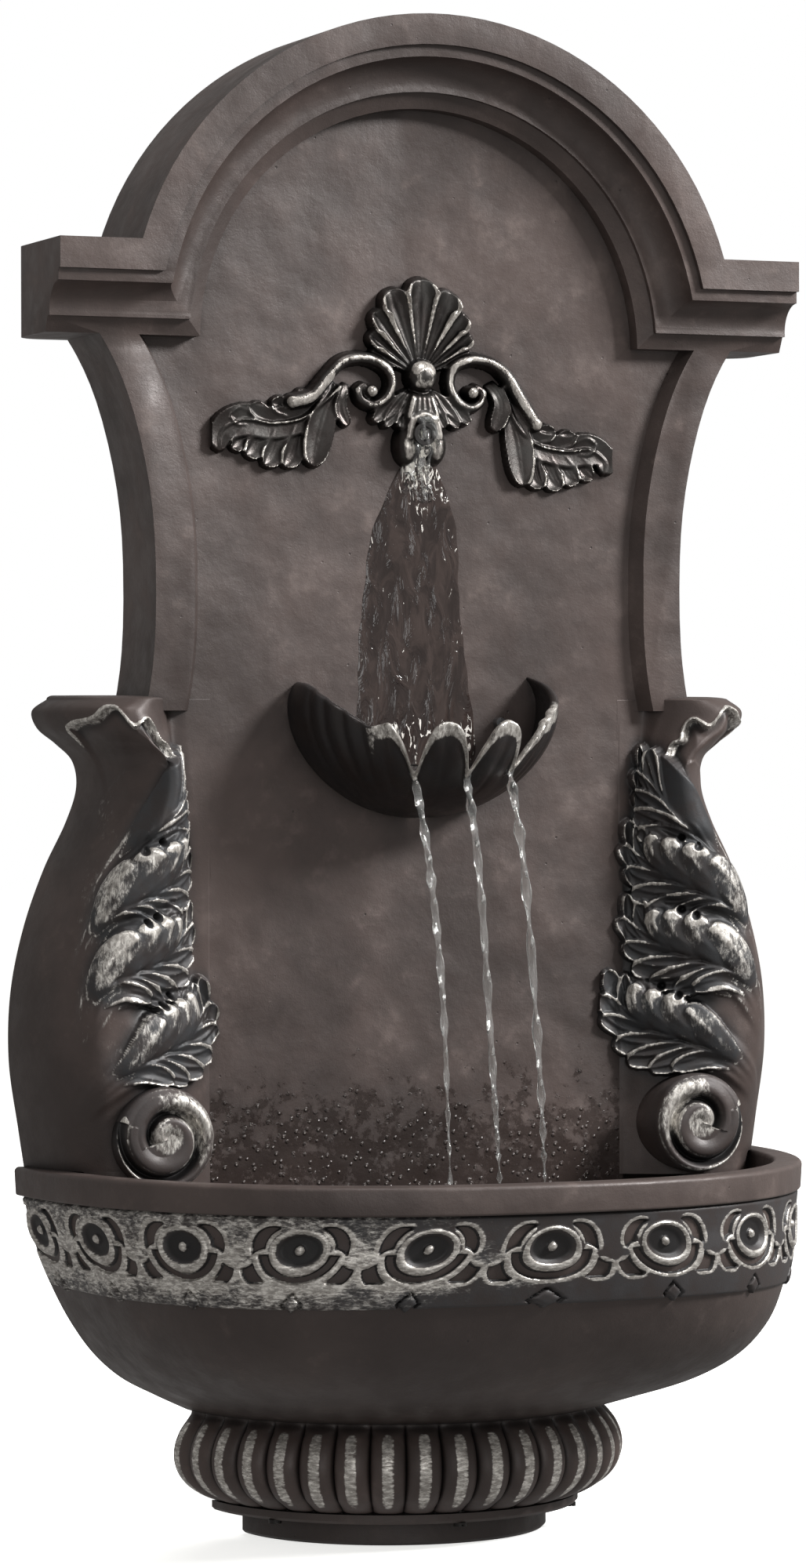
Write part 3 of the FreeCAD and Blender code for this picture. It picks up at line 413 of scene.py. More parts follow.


# the pit colour is also used for the wet splash and for painted shade in inner corners and toward the underside
wash = {"dark": "#3d3431", "middle": "#514541", "worn": "#6d605b", "pitAndShade": "#1f1a18", "paintedGlint": "#a8a29c"}
basinWash = {"dark": "#443a37", "middle": "#534844", "worn": "#6d605b", "pitAndShade": "#1b1715"}
silvered = {"dark": "#3d3431", "middle": "#514541", "worn": "#655853", "leaf": "#332e2d", "cool": "#343537",
            # the deep colour is painted shade in hollows and inner corners, over the wash that pooled there
            "hollowShade": "#0d0c0d",
            "pewter": "#9a958f", "bright": "#ece8e1"}
crestWash = dict(silvered, leaf="#3e3937", cool="#444240", pewter="#9d9791", bright="#ddd8d0")
bowlWash = dict(silvered, leaf="#312b29", cool="#2f2c2c")

panelFinish = castMetalWash("Aged_metal_wash_on_resin", wash, 0.5, splashed=(185, 300))
basinFinish = castMetalWash("Dark_metal_wash_on_resin", basinWash, 0.5, shadeBelow=(120, 186))
leafFinish = drySilver("Pewter_dry_brush_on_leaves", silvered, 0.15, 1.4)
crestFinish = drySilver("Pewter_dry_brush_on_crest", crestWash, 0.4, 1.9, gain=0.95, sheen=0.85, roughness=0.34)
friezeFinish = drySilver("Pewter_dry_brush_on_frieze", silvered, 0.1, 0.9, gain=1.1, streak=(0.45, 0.45, 1.4))
bowlFinish = drySilver("Pewter_dry_brush_on_bowl_lip", bowlWash, 0.5, 1.5, gain=1.3, sheen=0.4, roughness=0.36)
# Fittings: rolled stainless steel has soft grey glints, moulded rubber is matt, moulded plastic has a low sheen,
# ground ceramic is pale and smooth, drawn brass is warm and dull, and smoked vinyl tube is dark and glossy.
steel = plainFinish("Stainless_steel", "#a7a8aa", 0.32, metallic=1.0, depth=0.00005, variation="#6c6d70")
rubber = plainFinish("Black_rubber", "#171717", 0.75)
pumpPlastic = plainFinish("Moulded_black_plastic", "#1b1c1e", 0.48, variation="#2a2b2e")
palePlastic = plainFinish("White_moulded_plastic", "#c9c8c2", 0.35, variation="#a5a49e")
ceramic = plainFinish("Ground_ceramic", "#dedcd5", 0.25, variation="#c6c3bb")
brass = plainFinish("Dull_brass", "#9c7d46", 0.38, metallic=1.0, variation="#5e4a28")
blackenedBrass = plainFinish("Blackened_brass", "#1d1a18", 0.45, metallic=0.4, variation="#0e0d0c")
vinyl = plainFinish("Smoked_vinyl", "#2a2b2d", 0.3, variation="#111111")
print("materials made")

slotFinish = {"cast_resin": basinFinish, "silvered_resin": leafFinish, "stainless_steel": steel,
              "black_rubber": rubber,
              "pump_plastic": pumpPlastic, "impeller_plastic": palePlastic, "ceramic_pin": ceramic,
              "brass_fitting": brass, "tube_vinyl": vinyl}


def slotOf(node):
    for part in frame["record"]["subparts"]:
        if part["node"] == node:
            return part["material_slot"]


for nodeName, node in frame["nodes"].items():
    node.data.materials.clear()
    node.data.materials.append(slotFinish[slotOf(nodeName)])
# the wash was brushed over the nozzle and the screw heads with the castings round them
for nodeName in ("spout_nozzle", "plinth_screws", "ledge_screws", "ledge_washers"):
    frame["nodes"][nodeName].data.materials[0] = blackenedBrass


# Camera and light

# turn in degrees, pitch and roll in radians, place in metres
view = {"turn": 22.5, "pitch": -0.00378, "roll": 0.00262, "place": (-1.1040, -2.6874, -0.2373), "lens": 126,
        "sensor": 36}


def makeCamera():
    turn = math.radians(view["turn"])
    pitch = view["pitch"]
    roll = view["roll"]
    ahead = Vector((math.sin(turn), math.cos(turn), 0))
    forward = ahead * math.cos(pitch) + Vector((0, 0, 1)) * math.sin(pitch)
    up = Vector((0, 0, 1)) * math.cos(pitch) - ahead * math.sin(pitch)
    right = forward.cross(up)
    rolledRight = right * math.cos(roll) - up * math.sin(roll)
    rolledUp = right * math.sin(roll) + up * math.cos(roll)
    camera = newObject("Camera", bpy.data.cameras.new("Camera"))
    axes = Matrix((rolledRight, rolledUp, -forward)).transposed()
    camera.matrix_world = Matrix.Translation(view["place"]) @ axes.to_4x4()
    camera.data.lens = view["lens"]
    camera.data.sensor_width = view["sensor"]
    camera.data.clip_start = 0.05
    bpy.context.scene.camera = camera


lights = {
    "key": {"place": (1.55, -1.25, 0.95), "aim": (0, 0, 0.0), "size": 0.6, "power": 84},
    "top": {"place": (0.0, -0.7, 1.7), "aim": (0, 0, 0.1), "size": 0.8, "power": 14},
    "fill": {"place": (-0.9, -2.9, -0.1), "aim": (0, 0, -0.3), "size": 1.2, "power": 11},
    "behind": {"place": (0.9, 2.2, 0.9), "aim": (0, 0, -0.2), "size": 1.4, "power": 30},
}
studio = {"backdrop": "#ffffff", "backdropStrength": 1.0, "bounce": "#eceae8", "bounceStrength": 0.4,
          "floor": "#f6f6f4",
          "floorGlow": 0.78}


def makeLights():
    for name, spec in lights.items():
        light = bpy.data.lights.new(name, "AREA")
        light.shape = "DISK"
        light.size = spec["size"]
        light.energy = spec["power"]
        lamp = newObject(name, light)
        lamp.location = spec["place"]
        aim = Vector(spec["aim"]) - Vector(spec["place"])
        lamp.rotation_euler = aim.to_track_quat("-Z", "Y").to_euler()
        # the one behind lights the open back only, with no glare along the arch
        lamp.visible_glossy = name != "behind"


def makeStage():
    bm = bmesh.new()
    bmesh.ops.create_grid(bm, x_segments=1, y_segments=1, size=14)
    bmesh.ops.translate(bm, verts=bm.verts, vec=(0, 0, -hangerHeight / 1000 - 0.0005))
    mesh = bpy.data.meshes.new("Floor")
    bm.to_mesh(mesh)
    bm.free()
    floor = newObject("Floor", mesh)
    material, _, shader = newMaterial("Pale_floor")
    setInputs(shader, {"Base Color": studio["floor"], "Roughness": 0.9, "Emission Color": studio["floor"],
                       "Emission Strength": studio["floorGlow"]})
    mesh.materials.append(material)
    # the pale floor would light the underside of the basin, which hangs well clear of any floor
    floor.visible_diffuse = False
    floor.visible_glossy = False
    # a white backdrop behind the object, and softer light from the room on it
    world = bpy.data.worlds.new("Studio")
    bpy.context.scene.world = world
    world.use_nodes = True
    world.node_tree.nodes.clear()
    add = partial(addNode, world.node_tree)
    room = add("Background", {"Color": studio["bounce"], "Strength": studio["bounceStrength"]})
    backdrop = add("Background", {"Color": studio["backdrop"], "Strength": studio["backdropStrength"]})
    seen = add("LightPath", result="Is Camera Ray")
    both = add("MixShader", (seen, room, backdrop))
    add("OutputWorld", {"Surface": both})
    bpy.context.scene.view_settings.view_transform = "Standard"


makeCamera()
makeLights()
makeStage()
print("camera, lights and floor made")


# Backboard: the CAD casting with its edges rounded as a mould leaves them

backboard = {"edge": 2.0, "steps": 3}


def softenedCasting(node, name, material, edge, steps):
    bm = bmesh.new()
    bm.from_mesh(frame["nodes"][node].data)
    bmesh.ops.remove_doubles(bm, verts=bm.verts, dist=1e-6)
    bmesh.ops.dissolve_limit(bm, angle_limit=math.radians(1.5), verts=bm.verts, edges=bm.edges)
    piece = makePiece(bm, name, material)
    bevel = piece.modifiers.new("Rounded_edges", "BEVEL")
    bevel.width = edge / 1000
    bevel.segments = steps
    bevel.limit_method = "ANGLE"
    bevel.angle_limit = math.radians(34)
    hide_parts(node)


softenedCasting("backboard", "Backboard_casting", panelFinish, **backboard)
print("backboard made")


# Basin: level sections of a bow-fronted bowl, with a thick rim and a hollow inside

basin = {
    # height, half-width, depth, squareness
    "body": [(66, 114, 114, 2.0), (74, 131, 138, 2.3), (84, 150, 158, 2.9), (97, 165, 175, 3.3), (113, 177, 189, 3.3),
             (131, 187, 200, 3.0), (150, 195, 208, 2.7), (166, 200, 213, 2.45), (180.5, 203, 217, 2.35)],
    "rim": (208, 222, 2.3),
    "rimBottom": 180.5, "rimTop": 195.5, "rimWidth": 15.0, "wall": 8.0, "floor": 80.0, "round": 2.4,
    "around": 220,
    # a ledge in each rear corner carries a volute: x, y and z
    "ledge": ((138, 192), (-40.5, -7), (183.5, 195.5)),
}


def planPoints(u, half, depth, square):
    # u from 0 to 1 goes round the front from the left wall corner to the right one
    a = np.pi * u
    x = -half * np.sign(np.cos(a)) * np.abs(np.cos(a)) ** (2 / square)
    y = -depth * np.clip(np.sin(a), 0, 1) ** (2 / square)
    return x, y


def evenTurns(count, half, depth, square):
    # values of u that are evenly spaced along the section, and its length
    u = np.linspace(0, 1, 4001)
    x, y = planPoints(u, half, depth, square)
    run = np.concatenate([[0], np.cumsum(np.hypot(np.diff(x), np.diff(y)))])
    return np.interp(np.linspace(0, run[-1], count), run, u), run[-1]


def basinRings():
    # closed level rings: height, half-width, depth, squareness, level of the back face
    b = basin
    rings = []
    for row in smoothThrough(b["body"], np.linspace(0, 1, 44)):
        rings.append((*row, 0.0))
    half, depth, square = b["rim"]
    low = b["rimBottom"]
    top = b["rimTop"]
    r = b["round"]
    rings.append((low + 0.2, half - 2.5, depth - 2.5, square, 0.0))
    for k in range(5):
        a = math.pi / 2 * k / 4
        rings.append((low + 1.4 * (1 - math.cos(a)) + 0.2, half - 2.0 + 1.4 * math.sin(a),
                      depth - 2.0 + 1.4 * math.sin(a),
                      square, 0.0))
    for k in range(7):
        a = math.pi / 2 * k / 6
        rings.append((top - r + r * math.sin(a), half - r + r * math.cos(a), depth - r + r * math.cos(a), square,
                      -0.4 * r * (1 - math.cos(a))))
    inner = half - b["rimWidth"]
    innerDepth = depth - b["rimWidth"]
    for k in range(6):
        a = math.pi / 2 * k / 5
        rings.append((top - r + r * math.cos(a), inner + r * (1 - math.sin(a)), innerDepth + r * (1 - math.sin(a)),
                      square,
                      -b["wall"] + 0.6 * r * (1 - math.sin(a))))
    wall = b["wall"]
    for row in smoothThrough(b["body"][2:-1][::-1], np.linspace(0, 1, 26)):
        z, h, d, s = row
        rings.append((max(z, b["floor"] + 3), h - wall, d - wall, s, -wall))
    rings.append((b["floor"], 128, 134, 2.6, -wall))
    rings.append((b["floor"], 1, 40, 2.0, -wall - 30))
    bottom = (66, 1, 40, 2.0, -30.0)
    return [bottom] + rings


def makeBasin():
    rings = np.array(basinRings())
    turns, _ = evenTurns(basin["around"] + 1, 203, 217, 2.35)
    backShare = 0.12

    def place(u, v):
        row = rings[np.rint(v * (len(rings) - 1)).astype(int)]
        front = np.clip(u / (1 - backShare), 0, 1)
        turn = np.interp(front, np.linspace(0, 1, len(turns)), turns)
        z, half, depth, square, back = row.T
        x, y = planPoints(turn, half, depth, square)
        onBack = np.clip((u - (1 - backShare)) / backShare, 0, 1)
        x = np.where(onBack > 0, half * (1 - 2 * onBack), x)
        # the ends of each ring meet the back face, which inside the bowl stands in from the wall
        y = np.where(onBack > 0, back, np.minimum(y, back))
        return x, y, z

    bm = bmesh.new()
    columns = round(basin["around"] / (1 - backShare))
    addGrid(bm, columns, len(rings) - 1, place)
    bmesh.ops.remove_doubles(bm, verts=bm.verts, dist=2e-5)
    bmesh.ops.dissolve_degenerate(bm, edges=bm.edges, dist=1e-6)
    for side in (-1, 1):
        spans = [sorted((side * basin["ledge"][0][0], side * basin["ledge"][0][1])), *basin["ledge"][1:]]
        made = bmesh.ops.create_cube(bm, size=1)
        for vert in made["verts"]:
            vert.co = at(*(low + (high - low) * (c + 0.5) for (low, high), c in zip(spans, vert.co)))
        ledgeEdges = list({e for v in made["verts"] for e in v.link_edges})
        bmesh.ops.bevel(bm, geom=ledgeEdges, offset=0.0012, affect="EDGES", segments=3, profile=0.5, material=-1)
    piece = makePiece(bm, "Basin_casting", basinFinish, sharpAngle=38)
    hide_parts("basin")


makeBasin()
print("basin made")

# Volutes: bodies beside the panel, each wrapped in an acanthus leaf of four fronds

volute = {
    # height, half-width at the wall, level of the crown
    "levels": [(195.5, 203, -58), (215, 206, -60), (250, 211, -66), (285, 210, -67), (318, 203, -67), (348, 192, -67),
               (372, 180, -67), (390, 174, -67), (404, 176, -67), (413, 185, -68), (421, 195, -68), (430, 198, -67),
               (436, 190, -62)],
    # height and the line where the volute meets the panel
    "innerEdge": [(195.5, 117), (270, 117), (300, 120), (340, 122), (370, 124), (400, 128), (436, 131)],
    "columns": 220, "rows": 430, "side": 118.2,
}
# Places on a volute are (distance round it from its inner edge, height). Each frond's axis runs from its tip.
fronds = [
    [(0, 410), (7, 398), (16, 386), (26, 374), (37, 362), (52, 348), (64, 333), (76, 312)],
    [(-3, 370), (5, 355), (16, 345), (28, 338), (44, 332), (58, 322), (70, 306), (80, 285), (86, 262)],
    [(-1, 331), (5, 317), (15, 308), (28, 301), (43, 297), (58, 291), (71, 278), (82, 258), (88, 238)],
    [(-10, 291), (0, 273), (11, 264), (23, 258), (39, 253), (56, 246), (71, 234), (80, 222), (86, 210)],
]
# distance along the axis from the tip, distance beside it, half-width
frondLobes = [(8, -10.5, 6), (18, -14.5, 6.4), (28, -18.5, 6.8), (38, -21, 6.8), (48, -19.5, 6.4), (57, -15, 5.6)]
frondTips = [(4, 8.5, 5.6), (-3, -1, 6)]
frondKnuckles = [(13, 13, 6), (25, 17.5, 7.4), (39, 20.5, 8.4), (55, 18.5, 8)]
frondEyelets = [(32, 22), (47, 22.5)]
# distance beside the axis, half-width and height of the long folds that run off toward the wall
frondFolds = [(-9, 2.2, 1.8), (-3, 2.4, 2.0), (3.5, 2.4, 2.2), (10, 2.6, 2.0)]
lipLine = [(86, 420), (77, 423), (63, 425), (52, 431), (46, 430), (41, 423), (37, 421), (29, 425), (25, 421),
           (25, 414), (20, 412), (19, 405), (17, 400), (21, 393), (30, 389), (38, 378)]


def voluteSection(z, side):
    # a level section from the panel round to the wall: distance, x, y and the direction its relief stands in
    levels = smoothThrough(volute["levels"], np.linspace(0, 1, 300))
    half = np.interp(z, levels[:, 0], levels[:, 1])
    crown = np.interp(z, levels[:, 0], levels[:, 2])
    inner = np.interp(z, *np.array(volute["innerEdge"]).T)
    if side < 0:
        inner += 7 * smoothStep(255, 300, z)
    width = half - 27 - inner
    rise = crown - panelY
    stations = [(inner - 18, panelY - 0.15), (inner - 9, panelY - 0.2), (inner, panelY - 0.35),
                (inner + 0.15 * width, panelY + 0.27 * rise), (inner + 0.36 * width, panelY + 0.62 * rise),
                (inner + 0.62 * width, panelY + 0.93 * rise), (inner + 0.85 * width, panelY + 1.02 * rise),
                (half - 24, panelY + 0.86 * rise), (half - 11, -44), (half - 3, -20), (half, 0)]
    x, y = smoothThrough(stations, np.linspace(0, 1, 330)).T
    run = np.concatenate([[0], np.cumsum(np.hypot(np.diff(x), np.diff(y)))])
    nx = np.gradient(y, run)
    ny = -np.gradient(x, run)
    window = np.ones(25) / 25
    nx = np.convolve(np.pad(nx, 12, mode="edge"), window, mode="valid")
    ny = np.convolve(np.pad(ny, 12, mode="edge"), window, mode="valid")
    length = np.hypot(nx, ny)
    return run - 18, x, y, nx / length, ny / length


def besideAxis(axis, along, beside):
    # the place at a distance along a frond's axis from its tip and a distance to its upper side
    points = smoothThrough(axis, np.linspace(0, 1, 200))
    run = np.concatenate([[0], np.cumsum(np.hypot(*np.diff(points, axis=0).T))])
    tangent = np.gradient(points, axis=0)
    tangent /= np.hypot(*tangent.T)[:, None]
    along = np.array(along, float)
    place = [np.interp(along, run, points[:, k]) for k in (0, 1)]
    aim = [np.interp(along, run, tangent[:, k]) for k in (0, 1)]
    ahead = np.minimum(along, 0)
    return place[0] - beside * aim[1] + ahead * aim[0], place[1] + beside * aim[0] + ahead * aim[1]


def addFrond(sheet, axis, first):
    for beside, width, height in frondFolds:
        addFold(sheet, [besideAxis(axis, 44, 1.3 * beside), besideAxis(axis, 64, 1.1 * beside),
                        besideAxis(axis, 86, 0.8 * beside), besideAxis(axis, 118, 0.4 * beside)], width, height)
    if not first:
        # the dark gap above the frond's folded edge
        addFold(sheet, [besideAxis(axis, s, b) for s, b in ((4, 15), (20, 22), (38, 26), (56, 26), (74, 22))], 4,
                -3.2)
    addLobe(sheet, [besideAxis(axis, 84, 0), besideAxis(axis, 45, 2), besideAxis(axis, 6, 1)], 16, 1.6, 1.8, curl=1.0)
    for along, beside, width in frondLobes + frondTips:
        line = [besideAxis(axis, along + 34, -1), besideAxis(axis, along + 16, 0.36 * beside),
                besideAxis(axis, along, beside)]
        addLobe(sheet, line, width, 2.8, 2.4, curl=3.0, root=0.45, paint=0.1)
    if not first:
        for along, beside, width in frondKnuckles:
            line = [besideAxis(axis, along + 42, 2), besideAxis(axis, along + 16, 0.5 * beside),
                    besideAxis(axis, along - 1, beside)]
            addKnuckle(sheet, line, width, 3.4, 3.6, flutes=2, paint=0.34)
        for along, beside in frondEyelets:
            sinkHole(sheet, besideAxis(axis, along, beside), 2.1, 5)


def addLip(sheet, line):
    # the cap's wavy lower edge, over a hollow flank
    near, share, left, _ = alongLine(sheet["across"], sheet["up"], line, 30, samples=160)
    ends = smoothStep(0, 0.03, share) * smoothStep(1, 0.86, share)
    hollow = np.where(left > 0, -5.5 * np.exp(-left / 13), 0)
    roll = 1.5 * np.exp(-(left / 1.3) ** 2)
    sheet["relief"][near] += (hollow + roll) * ends
    sheet["paint"][near] += (0.5 * np.exp(-(left / 1.6) ** 2) + 0.16 * (left > 0) * np.exp(-left / 9)) * ends


def makeVolute(side, name, nodes):
    heights = np.linspace(195.5, 436, volute["rows"])
    share = np.linspace(0, 1, volute["columns"])
    spread = 0.72 * share + 0.28 * share ** 4
    maps = []
    for z in heights:
        q, x, y, nx, ny = voluteSection(z, side)
        place = -14 + (q[-1] + 14) * spread
        maps.append([place] + [np.interp(place, q, line) for line in (x, y, nx, ny)])
    across, x, y, nx, ny = np.array(maps).transpose(1, 0, 2)
    # the bare border slips behind the face of the panel where it runs in over it
    y = y + 1.3 * smoothStep(116.5, 113.5, x) * smoothStep(1.6, 0.6, panelY - y)
    up = np.repeat(heights[:, None], volute["columns"], axis=1)
    sheet = newSheet((across - 6) / 0.95 if side < 0 else across, up)
    addLip(sheet, lipLine)
    for k, axis in enumerate(fronds):
        addFrond(sheet, axis, k == 0)
    relief = softMap(sheet["relief"], 1) * smoothStep(heights[-1], heights[-1] - 6, up)
    sheet["relief"] = relief
    marks = brushMarks(sheet)
    # silver streaks run off over the flank below each frond
    flank = smoothStep(40, 62, across) * smoothStep(98, 78, across)
    flank = flank * smoothStep(215, 260, up) * smoothStep(415, 380, up)
    marks["paint"] = marks["paint"] + 0.27 * flank
    # the back lies on the wall, the inner side on the panel's edge, and the cap closes over the top
    xs = x + nx * relief
    ys = np.minimum(y + ny * relief, 0)
    one = np.ones((len(heights), 1))
    first = np.minimum(xs[:, :1], volute["side"] - 3)
    xs = np.hstack([xs, volute["side"] * one, volute["side"] * one, first, first, xs[:, :1]])
    over = np.where(xs[:, -1:] < volute["side"] - 3, panelY + 1.3, panelY - 0.1)
    ys = np.hstack([ys, 0 * one, (panelY + 1.4) * one, (panelY + 1.4) * one, over, ys[:, :1]])
    zs = np.hstack([up, up[:, :5]])
    for down in (4, 8, 11):
        # in front of the ledge the foot of the volute runs on below the rim
        ahead = ((ys[:1] < -40.55) | ((xs[:1] < 137) & (ys[:1] < -5))) * smoothStep(188, 182, xs[:1])
        xs = np.vstack([xs[:1], xs])
        ys = np.vstack([ys[:1], ys])
        zs = np.vstack([195.5 - down * ahead, zs])
    marks = {key: np.pad(value, ((3, 0), (0, 0)), mode="edge") for key, value in marks.items()}
    lastX = xs[-1:]
    lastY = ys[-1:]
    middle = 0.5 * (lastX.min() + lastX.max())
    for a in np.linspace(0, np.pi / 2, 7)[1:]:
        xs = np.vstack([xs, middle + (lastX - middle) * (0.9 + 0.1 * math.cos(a))])
        ys = np.vstack([ys, lastY * (1 - (1 - math.cos(a)) * 0.97)])
        zs = np.vstack([zs, np.full_like(lastX, 436 + 2.2 * math.sin(a))])
    bm = bmesh.new()
    addSheet(bm, (side * xs, ys, zs), marks)
    closeEnds(bm)
    piece = makePiece(bm, name, leafFinish, sharpAngle=70)
    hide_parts(*nodes)


makeVolute(-1, "Volute_left", ["volute_left", "acanthus_left"])
makeVolute(1, "Volute_right", ["volute_right", "acanthus_right"])
print("volutes made")


# Scrolls: a thick disc at the foot of each volute, with a spiral groove round its eye

scroll = {"x": 150, "z": 212.5, "radius": 26, "front": -73.0, "back": -40.0, "grooveStart": 8, "grooveEnd": 24.5,
          "turn": 400, "groove": 2.1, "depth": 4.6}


def makeScroll(side, name, node):
    s = scroll
    rings = 78
    angle = np.linspace(0, 2 * np.pi, 241)[None, :] + np.zeros((rings, 1))
    r = (s["radius"] * np.linspace(0, 1, rings) ** 0.85)[:, None] + 0 * angle
    degrees = np.degrees(angle)
    # how far each point is from the spiral groove, inward below 0 and outward above
    nearest = np.full_like(r, 99.0)
    for turnBack in (-1, 0, 1):
        share = (degrees + 360 * turnBack + 20) / s["turn"]
        gap = r - s["grooveStart"] - (s["grooveEnd"] - s["grooveStart"]) * share
        gap = np.where((share < 0) | (share > 1), 99, gap)
        nearest = np.where(np.abs(gap) < np.abs(nearest), gap, nearest)
    # the band swells beside the groove, and its outer edge is rounded over
    groove = s["depth"] * np.exp(-(np.where(nearest > 0, nearest / 1.35, nearest / 0.85) / s["groove"]) ** 2)
    swell = 1.6 * np.sin(np.pi * np.clip(np.abs(nearest) / 11, 0, 1))
    shoulder = 4.5 * (1 - np.sqrt(np.clip(1 - np.clip((r / s["radius"] - 0.82) / 0.18, 0, 1) ** 2, 0, 1)))
    relief = 2.2 + swell - groove - shoulder
    high = np.clip(relief.max() - 2.2 - 0.2, 0, None)
    relief -= high
    arc = np.exp(-((degrees - 140) / 70) ** 2) * smoothStep(11, 15, r) * smoothStep(26.5, 22, r)
    lowArc = 0.22 * np.exp(-((degrees - 285) / 30) ** 2) * smoothStep(20, 24, r)
    silver = 0.85 * arc + 0.6 * smoothStep(11, 6, r) + lowArc
    raised = (relief - softMap(relief, 5)) * 1.3
    # the groove is painted darker in the material: partly the wash pooled there, partly painted shade
    hollow = smoothStep(1.2, 3.0, groove)
    xs = s["x"] + r * np.cos(angle)
    zs = s["z"] + r * np.sin(angle)
    ys = s["front"] + 2.2 - relief
    xs, zs, ys = (np.vstack([axis, axis[-1:]]) for axis in (xs, zs, ys))
    ys[-1] = s["back"]
    bm = bmesh.new()
    marks = {"relief": raised, "paint": silver, "hollow": hollow, "leaf": 0.5 + 0 * r}
    addSheet(bm, (side * xs, ys, zs), marks)
    closeEnds(bm)
    piece = makePiece(bm, name, leafFinish, sharpAngle=60)
    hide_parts(node)


makeScroll(-1, "Scroll_left", "scroll_left")
makeScroll(1, "Scroll_right", "scroll_right")
print("scrolls made")


# Crest: shell, C-scrolls, leaves and spout mask, carved in one with the panel under them

crest = {"ball": (0.8, 604.5), "ballRadius": 8.5}
# angle from upright, length of the flute and half its spread
shellFlutes = [(-66, 31, 8.5), (-53, 36.5, 9), (-38, 43, 10), (-21, 49, 11.5), (0.5, 52, 12), (21, 49, 11.5),
               (37, 43, 10), (52, 37.5, 9), (65, 32, 8.5)]
scrollLeft = [(-71, 590), (-61, 593), (-53, 601.5), (-43.5, 611), (-31, 613.3), (-20, 609), (-15.6, 601.5),
              (-18.4, 593.6), (-25.5, 589), (-32.5, 591.4), (-34.3, 596.4), (-31.5, 598.6)]
scrollRight = [(66, 581), (57.5, 594), (49.5, 606), (40.7, 612.3), (29.6, 613.8), (20.4, 610), (17, 601.6),
               (20.2, 593.5), (27, 588.6), (33.6, 590.6), (35.6, 596.2), (32.4, 599)]
leafLeft = {
    "axis": [(-44, 598), (-55, 588.5), (-66, 581), (-81.5, 578.5), (-97, 580), (-109, 574.5), (-111, 563)],
    "lower": [((-92, 580), (-105, 565), 5.2), ((-84, 579), (-97, 561.5), 6.2), ((-74, 581), (-87, 556.5), 6.6),
              ((-63, 584), (-76, 556), 6.6)],
    "upper": [((-92, 580), (-105, 582), 5), ((-80, 579), (-95, 586.5), 5.2), ((-68, 582), (-83, 589.5), 5.2),
              ((-58, 588), (-70, 594), 4.6)],
    "drop": [(-46, 600), (-54, 580), (-60, 556)], "dropWidth": 8.5,
    "small": [(-40, 600), (-44, 588), (-39.5, 577.5)], "smallWidth": 4.0,
}
leafRight = {
    "axis": [(48, 600), (55, 582), (66, 571), (84, 567), (98, 568), (107, 562), (106, 555)],
    "lower": [((88, 567), (101, 553), 5.2), ((79, 567), (92, 550.5), 6.2), ((70, 569), (82, 547), 6.6),
              ((62, 573), (71, 547), 6.6)],
    "upper": [((88, 567.5), (102, 570), 5), ((76, 568.5), (91, 575), 5.2), ((65, 572), (79, 577.5), 5.2),
              ((57, 580), (68, 583), 4.6)],
    "drop": [(48, 598), (56, 574), (59.5, 548)], "dropWidth": 8.5,
    "small": [(41, 602), (47, 590), (42, 576.5)], "smallWidth": 5.5,
}


def addCrestLeaf(sheet, leaf):
    axis = leaf["axis"]
    addLobe(sheet, axis, 9, 1.4, 2.8, curl=1.5)
    for key, curl in (("lower", 3.2), ("upper", 2.4)):
        for root, tip, width in leaf[key]:
            bend = (0.5 * root[0] + 0.5 * tip[0], 0.3 * root[1] + 0.7 * tip[1])
            addLobe(sheet, [root, bend, tip], width, 2.4, 2.4, curl=curl, point=0.8, root=0.5, paint=0.15)
    addLobe(sheet, leaf["drop"], leaf["dropWidth"], 2.4, 3.6, curl=2.0, root=0.35)
    addLobe(sheet, leaf["small"], leaf["smallWidth"], 1.8, 4.4, curl=0.8)
    addStrand(sheet, axis, 1.1, 1.4, lift=3.4, taper=0.5, paint=0.1)


def addShell(sheet):
    cx, cz = crest["ball"]
    dx = sheet["across"] - cx
    dz = sheet["up"] - cz
    reach = np.hypot(dx, dz)
    angle = np.degrees(np.arctan2(dx, dz))
    everywhere = np.nonzero(reach < 60)
    for turn, length, spread in shellFlutes:
        a = np.abs(angle - turn) / spread
        edge = length * (1 - 0.13 * np.clip(a, 0, 1) ** 2.6)
        inside = (a < 1) & (reach < edge) & (reach > 5)
        share = reach / edge
        rise = 3.6 + 4.6 * share ** 1.4 + 1.6 * smoothStep(0.8, 0.95, share) * a
        trough = 4.6 * (share + 0.1) * (a ** 1.8 - 0.7)
        curl = -2.6 * smoothStep(0.95, 1.0, share) ** 2
        height = rise + trough + curl
        silver = 0.3 * smoothStep(0.6, 1.0, a) * smoothStep(0.3, 0.8, share)
        layOn(sheet, everywhere, height[everywhere], inside[everywhere], silver[everywhere])


def addDome(sheet, centre, radii, height, lift=0.0, paint=0.0):
    a = np.hypot((sheet["across"] - centre[0]) / radii[0], (sheet["up"] - centre[1]) / radii[1])
    near = np.nonzero(a < 1)
    layOn(sheet, near, lift + height * np.sqrt(1 - a[near] ** 2), np.ones(len(near[0]), bool), paint)


